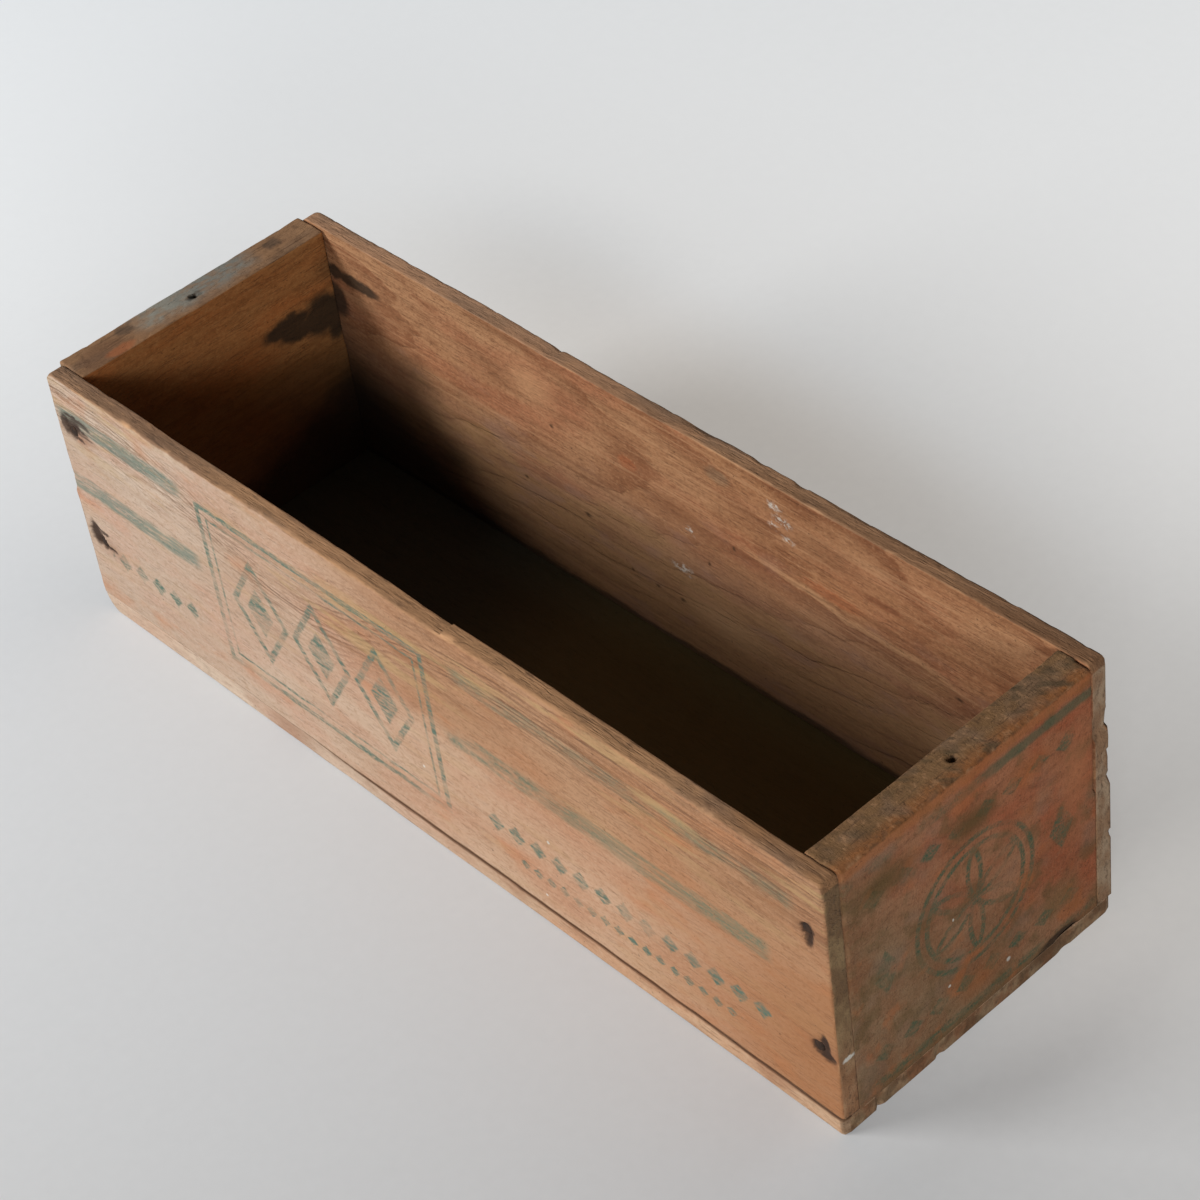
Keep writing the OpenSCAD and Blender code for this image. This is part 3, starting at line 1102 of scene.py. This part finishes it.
# %% [markdown]
# Wear comes last. The rim is darker towards both ends, the sawn ends are grey above and tan below, dark
# stains hang from the nails, and a white drip has dried on the right end of the board.

# %% The front's wear
colour = inside_dirt_and_shade(colour, grain, z, 1 - outside, 0.5, 15)
colour = speckle(colour, place, 16)
colour = mix(nail_halo(x, z) * outside * 0.45, colour, paint(140, 98, 72))
rim_tan = layers(
    paint(186, 140, 100),
    (step(x, 95, 125), paint(166, 122, 84)),
    (step(x, -60, -100), paint(150, 113, 84)))
colour = weathered_rim(colour, place, grain, rim_tan, 18)
colour = worn_arris(colour, place, grain, 21)
colour = dirty_seam(colour, place, grain, 31)
lower = step(z, 45, 10)
grey = mix(lower, paint(152, 126, 90), paint(190, 150, 114))
brown = mix(lower, paint(120, 94, 66), paint(160, 116, 82))
colour = end_grain(colour, place, grey, brown, 22)
colour = bruises(colour, place, grain, NAIL_STAIN, 24)
stains = spots(ragged(x, place, 2.2, 3.0, 27), ragged(z, place, 1.6, 2.2, 28), [
    (143.4, 68.0, 1.7, 5.2), (144.8, 30.5, 1.5, 5.0), (144.8, 27.0, 3.4, 2.4), (-144.5, 71.5, 2.2, 5.2),
    (-139.0, 75.2, 7.0, 1.1), (-138.5, 71.6, 6.0, 1.0), (-140.0, 68.2, 5.0, 1.0), (-144.5, 31.0, 2.4, 5.8),
    (-140.0, 27.6, 5.2, 1.2), (-140.5, 33.0, 4.0, 1.0)])
drip = spots(ragged(y, place, 1.2, 1.6, 25), ragged(z, place, 1.0, 1.4, 26), [(-45.6, 26.5, 2.6, 1.0)])
dots = spots(x, z, [(0, 29.4, 0.6, 0.6), (49, 34, 0.7, 0.7), (44.6, 11.6, 0.6, 0.5)])
colour = layers(
    colour,
    (stains * outside * 0.85, NAIL_STAIN),
    (drip * step(x, half_l - 1.5, half_l - 0.6), DUST_WHITE),
    (dots * outside * 0.8, DUST_WHITE))
lay(front_wood, [front_board], colour, 0.8 - rings * 0.1, height, BOARD_RELIEF)

# %% [markdown]
# ## The back's finish
# Inside, the back shows the broad arches of a board cut flat through the tree, orange at the top where the
# light has browned it, and purple-brown lower down with old dirt and painted shade. The tree's heart lies
# behind the board and runs away from it, so the ring number is the distance from a sloping, wandering line,
# and its rings close in arches.

# %% Back wood
def arches(along, across, through, heart, gap, grain, seed):
    """Ring number about a heart line: distance over gap, with a slow wander and a fine shake.

    The heart is given as its place across, its place through the board at the middle, and the slope at which
    it runs away along the board.
    """
    swing = (noise(grain, (95, 300, 300), seed, 2) - 0.5) * 26
    rise = (noise(grain, (130, 300, 300), seed + 1, 2) - 0.5) * 16
    shake = (noise(grain, (22, 7, 7), seed + 2, 3) - 0.5) * 0.9
    away = length_of(across - heart[0] + swing, through - heart[1] - along * heart[2] + rise)
    return away / gap + shake


back_wood, place = new_finish("back_wood")
x, y, z = axes(place)
grain = vector(x, z, y)
inside = step(y, half_w - side_t * 0.4, half_w - side_t + 0.8)
rings = late_wood(arches(x, z, y, (68, half_w + 30, 0.11), 6.0, grain, 31), 34)
rings = rings * (step(noise(grain, (34, 7, 7), 33, 3), 0.34, 0.6) * 0.6 + 0.3)
tones = between(
    inside,
    paints((160, 116, 86), (190, 148, 116), (204, 168, 138), (192, 140, 108)),
    paints((142, 95, 63), (171, 119, 80), (186, 138, 99), (176, 111, 78)))
colour, height = old_wood(grain, tones, paint(128, 76, 46), rings, 35, 0.6)

# %% [markdown]
# The inner face has been stained by what lay against it. Ash-coloured bloom, scabs and dust cover its lower
# part, a long broken line runs along the right half with a dark side below and a pale sliver above, and large
# soft patches are lighter or darker than the rest. The two lighter patches low down are painted light.

# %% Stains inside the back
stain_x = ragged(x, place, 3.0, 3.0, 48)
stain_z = ragged(z, place, 2.5, 2.4, 49)
ash = step(z + (noise(grain, (28, 9, 9), 39, 5) - 0.5) * 70, 48, 30)
scabs = step(noise(grain, (11, 4.5, 4.5), 59, 6), 0.52, 0.66)
ledge = z - 58 + (x - 20) * 0.07 + (noise(grain, (26, 300, 300), 61, 5) - 0.5) * 14
below_ledge = step(x, -10, 30) * step(ledge, 0.4, -0.4) * step(ledge, -9, 0)
sliver = step(x, 20, 40) * step(x, 112, 90) * step(ledge, -0.2, 0.6) * step(ledge, 3.4, 1.6)
dust = noise(place, (1.3, 1.0, 0.9), 62, 3)
lines = noise(grain, (60, 1.5, 1.5), 63, 4)
bloom = step(noise(grain, (16, 6, 6), 60, 6), 0.52, 0.66) * step(z, 72, 40)
colour = layers(
    colour,
    (inside * spots(stain_x, stain_z, [(-14, 65, 5, 3), (62, 60, 14, 3)]) * 0.45, paint(178, 98, 58)),
    (inside * spots(stain_x, stain_z, [(80, 67.5, 8, 2.0)]) * 0.6, paint(128, 72, 44)),
    (inside * spots(stain_x, stain_z, [(22, 79.5, 6, 3.2)]) * 0.5, paint(140, 118, 92)),
    (inside * ash * 0.6, paint(176, 138, 84)),
    (inside * scabs * 0.35, paint(128, 78, 48)),
    (inside * below_ledge * 0.5, paint(120, 72, 44)),
    (inside * sliver * 0.45, paint(216, 168, 122)),
    (inside * step(dust, 0.5, 0.7) * 0.28, paint(96, 62, 40)),
    (inside * step(dust, 0.48, 0.3) * 0.2, paint(206, 156, 116)),
    (inside * step(lines, 0.54, 0.66) * 0.32, paint(112, 70, 44)),
    (inside * step(lines, 0.45, 0.34) * 0.3, paint(208, 160, 118)),
    (inside * bloom * 0.4, paint(164, 128, 112)),
    # Painted light: lighter low on the wall, where the window's light reaches down.
    (inside * spots(x, z, [(20, 25, 24, 10), (102, 30, 16, 10)], 1.0) * 0.8, paint(212, 168, 120)),
    (inside * spots(x, z, [(122, 66, 14, 9), (60, 74, 18, 7)], 1.0) * 0.45, paint(122, 78, 48)),
    (inside * spots(x, z, [(-52, 74, 16, 10)], 1.0) * 0.5, paint(212, 160, 116)),
    (inside * spots(x, z, [(2, 58, 20, 7)], 1.0) * 0.45, paint(126, 78, 50)))

# %% [markdown]
# Over the stains lie dirt, soot and painted shadow. The left corner is black from the bottom up, with soot
# and with painted shadow that slants like the left end's shadow edge, and two patches along that edge are
# painted shadow too. A smudge of soot hangs there below the rim, a dark tide line follows the bottom board,
# and knocks and chalky scuffs are strewn over all.

# %% Dirt and painted shadow on the back
colour = inside_dirt_and_shade(colour, grain, z, inside, 0.05, 40)
# The left corner's darkness slants like the left end's shadow edge: soot and painted shadow.
corner = z + (x + half_l - end_t) * 0.5 + (noise(place, (12, 12, 12), 58, 3) - 0.5) * 12
scuffs = spots(ragged(x, place, 1.6, 4.0, 50), ragged(z, place, 1.6, 3.4, 51), [
    (43, 80.5, 3.6, 2.4), (45.5, 76.5, 4.6, 2.8), (42, 73.5, 2.8, 2.0), (47, 71, 3.6, 1.8), (4, 37, 6.0, 2.6),
    (9, 53.5, 2.2, 2.0)], 1.0)
crumbs = step(noise(place, (1.3, 1.3, 1.0), 56, 4), 0.44, 0.6)
colour = layers(
    colour,
    (inside * step(corner, 66, 35) * 0.75, GRIME_AND_SHADE),
    (inside * step(corner, 44, 28) * 0.7, SOOT_AND_SHADE),
    # Painted shadow: two ovals along the left end's shadow edge.
    (inside * spots(x, z, [(-105, 49, 17, 14), (-91, 26, 11, 9)], 1.0) * 0.45, GRIME_AND_SHADE),
    (inside * scuffs * crumbs * 0.8, DUST_WHITE))
colour = speckle(colour, place, 41)
knocks = spots(ragged(x, place, 1.5, 1.6, 52), ragged(z, place, 1.2, 1.0, 53), [
    (-45, 62, 1.4, 1.0), (25.6, 56.4, 1.0, 1.2), (15, 45, 1.0, 1.4), (-34.4, 35.6, 2.0, 1.2),
    (-60, 36, 1.4, 0.9), (-8, 24, 1.7, 0.9), (2, 24.4, 1.8, 1.0), (-18, 24.4, 1.3, 0.9),
    (105, 50, 2.4, 1.1)], 0.9)
soot = spots(ragged(x, place, 4, 5, 54), ragged(z, place, 3, 2.6, 55), [
    (-126, 73, 13, 2.8), (-136, 73.2, 5, 3.4), (-138, 63, 7, 8)], 0.45)
tide = step(z + (noise(grain, (14, 3, 3), 57, 3) - 0.5) * 5, bottom_t + 3.2, bottom_t + 1.4)
colour = layers(
    colour,
    (nail_halo(x, z) * (1 - inside) * 0.5, paint(126, 88, 64)),
    (inside * knocks * 0.75, GRIME_AND_SHADE),
    (inside * soot * 0.84, SOOT_AND_SHADE),
    (inside * tide * 0.7, SOOT_AND_SHADE))
rim_tan = layers(
    paint(168, 126, 92),
    (step(x, 90, 120), paint(140, 102, 72)),
    (step(x, 60, -100), paint(196, 150, 116)))
colour = weathered_rim(colour, place, grain, rim_tan, 42, mottled=0.6)
colour = worn_arris(colour, place, grain, 45)
colour = end_grain(colour, place, paint(188, 162, 134), paint(164, 128, 98), 46)
colour = bruises(colour, place, grain, NAIL_STAIN, 48)
lay(back_wood, [back_board], colour, 0.82 - rings * 0.1, height, BOARD_RELIEF)

# %% [markdown]
# ## The right end's finish
# The right end's face is a deep red-brown, duller towards the front and the bottom, with clouds of olive,
# orange and grey. One set of tones would look painted, so the red set takes over from the dull one along a
# ragged diagonal.

# %% Right end wood
right_end_wood, place = new_finish("right_end_wood")
x, y, z = axes(place)
grain = vector(y * 3.5, z, x)
outside = step(x, half_l - end_t * 0.5, half_l - 1.5)
rings = late_wood(arches(y, z, x, (20, half_l + 40, 0.2), 5.0, grain, 51), 54)
rings = rings * rings * 0.22
redder = step(y + (z - 44) * 0.9 + (noise(place, (24, 24, 24), 56, 2) - 0.5) * 50, -34, 34)
tones = between(
    outside,
    paints((138, 96, 64), (168, 122, 86), (184, 140, 104), (172, 114, 80)),
    between(
        redder,
        paints((118, 88, 58), (146, 108, 76), (162, 130, 98), (148, 98, 66)),
        paints((138, 85, 54), (172, 106, 72), (188, 126, 90), (182, 96, 62))))
colour, height = old_wood(grain, tones, paint(96, 60, 40), rings, 57, 0.5)
olive = any_of(step(noise(place, (7, 7, 7), 66, 5), 0.48, 0.64), step(ragged(z, place, 4, 7, 58), 10, 6))
ember = step(noise(place, (12, 9, 9), 59, 5), 0.54, 0.68)
haze = step(noise(place, (14, 14, 14), 67, 4), 0.5, 0.68)
colour = layers(
    colour,
    (olive * outside * 0.6, paint(112, 90, 56)),
    (ember * outside * 0.55, paint(188, 112, 66)),
    (haze * outside * 0.35, paint(150, 126, 106)))

# %% [markdown]
# Its print is green and nearly gone: a stripe under the rim and one above the bottom, two rows of small
# lozenges, and a compass-drawn rosette between two lozenges. The rosette needs only distances from seven
# points, as a pair of compasses would draw it.

# %% The right end's print
INK_GREEN = paint(78, 100, 76)


def rosette(across, up, centre, radius, half):
    """Six arcs of one radius, centred on the points of a hexagon and cut by the circle, and two circles."""
    from_centre = length_of(across - centre[0], up - centre[1])
    within = step(from_centre, radius + 0.3, radius - 0.3)
    circles = [band(from_centre, radius + extra, half, 0.6) for extra in (0, 3.4)]
    arcs = []
    for turn in [math.radians(30 + 60 * number) for number in range(6)]:
        from_point = length_of(across - (centre[0] + radius * math.cos(turn)),
                               up - (centre[1] + radius * math.sin(turn)))
        arcs.append(band(from_point, radius, half, 0.6))
    return any_of(any_of(*arcs) * within, any_of(*circles))


print_mask = any_of(
    rule(y, z, -38, 42, 8.6, 1.2),
    rosette(y, z, (0, 44), 17, 0.8),
    *[lozenge_row(y, z, -38, 38, row, 9.5, 2.8) for row in (17.5, 71)],
    *[step(lozenge(y, z, (side * 31, 44), (4.5, 7.5)), 1.1, 0.9) for side in (-1, 1)])
clear = step(y + (noise(place, (12, 12, 12), 65, 2) - 0.5) * 40, -30, 25)
stripe = rule(y, ragged(z, place, 5, 2.2, 62), -46, 46, 81.3, 1.7)
stripe = any_of(faded_stripe(stripe, grain, 64) * (clear * 0.5 + 0.4), stripe * clear * 0.7)
colour = layers(
    colour,
    (worn_ink(print_mask, grain, 63) * outside * 0.95, INK_GREEN),
    (stripe * outside, INK_GREEN))

# %% [markdown]
# Over the print lie large soft stains, a smudge low down, and an orange edge under the rim. The rim itself is
# tan and full of grey dents, which are noise on coordinates turned by 45 degrees.

# %% The right end's wear
colour = layers(
    colour,
    (spots(y, z, [(0, 70, 14, 8), (-30, 74, 16, 8)], 1.0) * outside * 0.85, paint(100, 78, 42)),
    (spots(y, z, [(0, 15, 12, 8), (20, 73, 12, 6)], 1.0) * outside * 0.5, paint(172, 100, 50)),
    (spots(y, z, [(30, 20, 10, 8)], 1.0) * outside * 0.5, paint(124, 104, 64)),
    (spots(y, z, [(37, 58, 9, 22)], 1.0) * outside * 0.6, paint(204, 132, 90)),
    (outside * step(ragged(z, place, 4, 2.4, 61), 83.2, 85.0) * 0.6, paint(180, 112, 64)))
colour = inside_dirt_and_shade(colour, grain, z, 1 - outside, 0.6, 68)
colour = speckle(colour, place, 69)
smudge = spots(ragged(y, place, 2, 2, 70), ragged(z, place, 1.5, 1.2, 71), [
    (29, 6.6, 9, 2.2), (22, 5.0, 5, 1.6)])
colour = mix(outside * smudge * 0.85, colour, GRIME_AND_SHADE)
outer_rim = step(ragged(x, place, 5, 4, 60), half_l - 5.5, half_l - 1)
rim_tan = mix(outer_rim, paint(138, 104, 68), paint(160, 104, 60))
colour = weathered_rim(colour, place, grain, rim_tan, 72)
pocks = step(noise(vector(y + x, y - x, z), (8.0, 3.6, 4), 75, 3), 0.47, 0.68)
pocks = pocks * (step(y, -40, 20) * 0.45 + 0.45)
colour = mix(pocks * step(measure(place, "upward"), 0.5, 0.8) * 0.9, colour, paint(92, 76, 54))
colour = worn_arris(colour, place, grain, 76)
colour = end_grain(colour, place, paint(150, 124, 96), paint(126, 96, 68), 77)
colour = bruises(colour, place, grain, GRIME_AND_SHADE, 79)
dots = spots(y, z, [(10.5, 13.5, 0.9, 0.9), (-10.5, 21.5, 0.6, 0.6), (-8, 43, 0.4, 0.6)])
colour = mix(dots * outside * 0.9, colour, DUST_WHITE)
lay(right_end_wood, [right_end_board], colour, 0.84 - rings * 0.08, height, BOARD_RELIEF)

# %% [markdown]
# ## The left end's finish
# The left end's inner face is the one that shows. It is orange-brown, darker towards the bottom with dirt and
# painted shade, and black in the back corner; a smear of soot reaches from that corner over it.

# %% Left end wood
left_end_wood, place = new_finish("left_end_wood")
x, y, z = axes(place)
grain = vector(y, z, x)
inside = step(x, -half_l + end_t * 0.5, -half_l + end_t - 1.0)
rings = late_wood(arches(y, z, x, (66, -half_l - 30, 0.2), 6.0, grain, 81), 84)
rings = rings * rings * 0.3
tones = between(
    inside,
    paints((138, 102, 74), (170, 132, 100), (188, 154, 124), (174, 126, 92)),
    paints((130, 82, 41), (161, 107, 59), (179, 127, 76), (173, 99, 47)))
colour, height = old_wood(grain, tones, paint(112, 70, 44), rings, 85)
colour = inside_dirt_and_shade(colour, grain, z + 12, inside, 0.75, 90)
# Painted shade, deepest low down and towards the front, where the front side shades this face.
low_shade = z + y * 0.35 + (noise(grain, (22, 8, 8), 91, 3) - 0.5) * 16
corner = z + (half_w - side_t - y) * 0.45 + (noise(place, (9, 9, 9), 97, 5) - 0.5) * 22
soot = spots(ragged(y, place, 5, 6, 92), ragged(z, place, 4, 5, 93), [
    (38, 60.5, 11, 9.5), (25, 63.5, 12, 4.2), (42, 58, 6, 11), (29, 60, 10, 4.4)])
soiled = step(z + (noise(grain, (18, 7, 7), 96, 5) - 0.5) * 50, 34, 4)
colour = layers(
    colour,
    (inside * step(low_shade, 74, 52) * 0.6, paint(76, 47, 6)),
    (inside * step(corner, 48, 28) * 0.8, SOOT_AND_SHADE),
    (inside * soot * 0.88, SOOT_AND_SHADE),
    (inside * spot(y, z, (44, 75), (9, 9), 1.0) * 0.4, GRIME_AND_SHADE),
    ((1 - inside) * soiled * 0.5, paint(104, 72, 48)))
colour = speckle(colour, place, 94)

# %% [markdown]
# Its rim has weathered grey along the middle of its outer half. It has dark and orange marks nearer to the
# sides, and a dirty ring round the lid's nail hole.

# %% The left end's rim
colour = weathered_rim(colour, place, grain, paint(164, 124, 90), 95)
rim_up = step(measure(place, "upward"), 0.4, 0.8)
rim_x = ragged(x, place, 5, 5, 98)
rim_y = ragged(y, place, 5, 6, 99)
bleak = band(rim_y, 2, 20, 10) * step(rim_x, -half_l + end_t, -half_l + end_t * 0.5)
bleak = bleak * (step(noise(grain, (3.4, 1.6, 1.6), 104, 4), 0.36, 0.58) * 0.5 + 0.42)
colour = layers(
    colour,
    (rim_up * bleak, mix(step(y, 4, -8), paint(142, 143, 135), paint(160, 158, 146))),
    (rim_up * spots(rim_x, rim_y, [(-142, -33, 7, 11)]) * 0.5, paint(116, 80, 56)),
    (rim_up * spots(rim_x, rim_y, [(-145, 30, 2.6, 4), (-146, -23, 3, 4.4)]) * 0.6, paint(76, 66, 58)),
    (rim_up * spots(rim_x, rim_y, [(-140, -28, 2.6, 6)]) * 0.6, paint(190, 112, 68)),
    (rim_up * spot(rim_x, rim_y, lid_holes["left"], (2.2, 3.4), 0.7) * 0.7, GRIME_AND_SHADE))
colour = worn_arris(colour, place, grain, 100)
colour = end_grain(colour, place, paint(150, 124, 96), paint(126, 96, 68), 101)
colour = bruises(colour, place, grain, GRIME_AND_SHADE, 103)
lay(left_end_wood, [left_end_board], colour, 0.84 - rings * 0.08, height, BOARD_RELIEF)

# %% [markdown]
# ## The bottom's finish
# The bottom's edges match the front, its inside is nearly black with old dirt and painted shade, blackest at
# the left, and its underside is pale raw wood with the marks of the saw. Along the front the seam above it is
# dirty where it opens.

# %% Bottom wood
bottom_wood, place = new_finish("bottom_wood")
x, y, z = axes(place)
grain = vector(x, y, z)
inside = step(z, bottom_t - 1.2, bottom_t - 0.4) * step(measure(place, "upward"), 0.3, 0.8)
inside = inside * step(abs(y), half_w - 1.5, half_w - 3.0) * step(abs(x), half_l - 1.5, half_l - 3.0)
rings = late_wood(arches(x, y, z, (15, -40, 0.1), 6.0, grain, 111), 114)
rings = rings * rings * 0.35
tones = between(
    step(x, 90, -60),
    paints((180, 136, 102), (200, 164, 132), (212, 178, 146), (202, 150, 114)),
    paints((184, 154, 130), (204, 176, 152), (214, 192, 170), (208, 170, 146)))
colour, height = old_wood(grain, tones, paint(132, 90, 60), rings, 115)
# The inside floor: dirt and painted shade, blackest towards the left end, under its shadow.
floor_dirt_and_shade = mix(step(x, -70, -10), paint(24, 26, 4), paint(78, 64, 26))
colour = mix(inside * 0.95, colour, floor_dirt_and_shade)
colour = speckle(colour, place, 121)
colour = worn_arris(colour, place, grain, 122)
stain = step(noise(grain, (18, 6, 6), 127, 4), 0.52, 0.68) * step(y, -half_w + 3, -half_w + 1)
stain = any_of(stain * 0.4, spot(x, y, (-62, -half_w), (20, 2), 1.0) * 0.5)
colour = mix(stain, colour, paint(150, 104, 76))
colour = dirty_seam(colour, place, grain, 129)
to_right = step(x, -half_l, half_l)
grey = mix(to_right, paint(156, 126, 96), paint(166, 138, 106))
brown = mix(to_right, paint(138, 104, 74), paint(148, 102, 70))
colour = end_grain(colour, place, grey, brown, 123)
right_edge = step(x, half_l - 2, half_l - 1)
soil = step(noise(place, (4, 4, 3), 128, 5), 0.46, 0.62) * right_edge
soil = any_of(soil * 0.55, spot(y, z, (24, 5), (12, 5), 0.8) * right_edge * 0.7)
colour = mix(soil, colour, paint(98, 74, 50))
colour = bruises(colour, place, grain, GRIME_AND_SHADE, 125)
saw = noise(vector(x + y * 0.15, y * 0.05, z), (1.6, 9, 9), 126, 2) * step(z, 2, 1)
lay(bottom_wood, [base_board], colour, 0.86 - rings * 0.08, height + saw * 0.6, BOARD_RELIEF)

# %% [markdown]
# ## The table
# The table is plain and white, and darker and warmer in the box's own shade. It keeps its dull white for the
# light, and a brightness that depends on the place is added for the camera alone, so the picture is as pale
# as the room while no extra light reaches the box. That added brightness holds painted shade round the box
# and behind it, warmer there, and painted light beside its right end. Far from the box the camera sees one
# even pale tone, so that the table has no end in the low views.

# %% Lay the table
TABLE_REACH = 6.0
table_mesh = bpy.data.meshes.new("table")
table_mesh.from_pydata(
    [(-TABLE_REACH, -TABLE_REACH, 0), (TABLE_REACH, -TABLE_REACH, 0),
     (TABLE_REACH, TABLE_REACH, 0), (-TABLE_REACH, TABLE_REACH, 0)], [], [(0, 1, 2, 3)])
table = bpy.data.objects.new("table", table_mesh)
bpy.context.scene.collection.objects.link(table)

# %% White table
BLACK = (0, 0, 0, 1)
DULL_WHITE = (0.52, 0.52, 0.52, 1)
COOL = (0.875, 1.005, 1.125, 1)
WARM = (1.125, 1.005, 0.875, 1)
white_table, place = new_finish("white_table")
x, y, z = axes(place)
seen = any_of(*[place.node("ShaderNodeLightPath", {}, {}, output=ray)
                for ray in ("Is Camera Ray", "Is Glossy Ray", "Is Transmission Ray")])
along, behind = x / 100, y / 100
gap = length_of((abs(x) - half_l).at_least(0.0), (abs(y) - half_w).at_least(0.0))
near = exponential(gap / -70)
far = step(gap, 300, 800)
# Painted light beside the right end; painted shade close round the box and behind it, with a little painted
# light farther behind.
lit_side = spot(x, y, (185, 55), (60, 90), 1.0) * 0.107 + spot(x, y, (150, 5), (26, 110), 1.0) * 0.09
shaded_side = spot(x, y, (-80, 128), (190, 50), 1.0)
shaded_back = spot(x, y, (-170, 152), (80, 45), 1.0)
far_back = step(gap, 60, 160) * step(y, -50, 60)
level = 0.345 - along * 0.035 + behind * 0.046 + along * behind * 0.015 + near * (behind * 0.045 - 0.106)
level = level + lit_side - shaded_side * 0.06 - shaded_back * 0.055 + far_back * 0.035
level = level.at_least(far * 0.6 + 0.12).at_most(far * 0.14 + 0.58)
level = level + (noise(place, (3, 3, 3), 1, 5) - 0.5) * 0.03
warmth = (near * behind * 0.08 + shaded_side * 0.06 + along * 0.007 - 0.008) * (1 - far)
painted_light_and_shade = mix(level * seen, BLACK, mix(warmth * 4 + 0.5, COOL, WARM))
ground = mix(seen * far, DULL_WHITE, BLACK)
white_shader = white_table.node_tree.nodes["Principled BSDF"]
white_shader.inputs["Roughness"].default_value = 0.9
white_shader.inputs["Emission Strength"].default_value = 1.0
for socket, field in (("Base Color", ground), ("Emission Color", painted_light_and_shade)):
    white_table.node_tree.links.new(field.socket, white_shader.inputs[socket])
table_mesh.materials.append(white_table)
print("white_table", len(white_table.node_tree.nodes), "nodes")
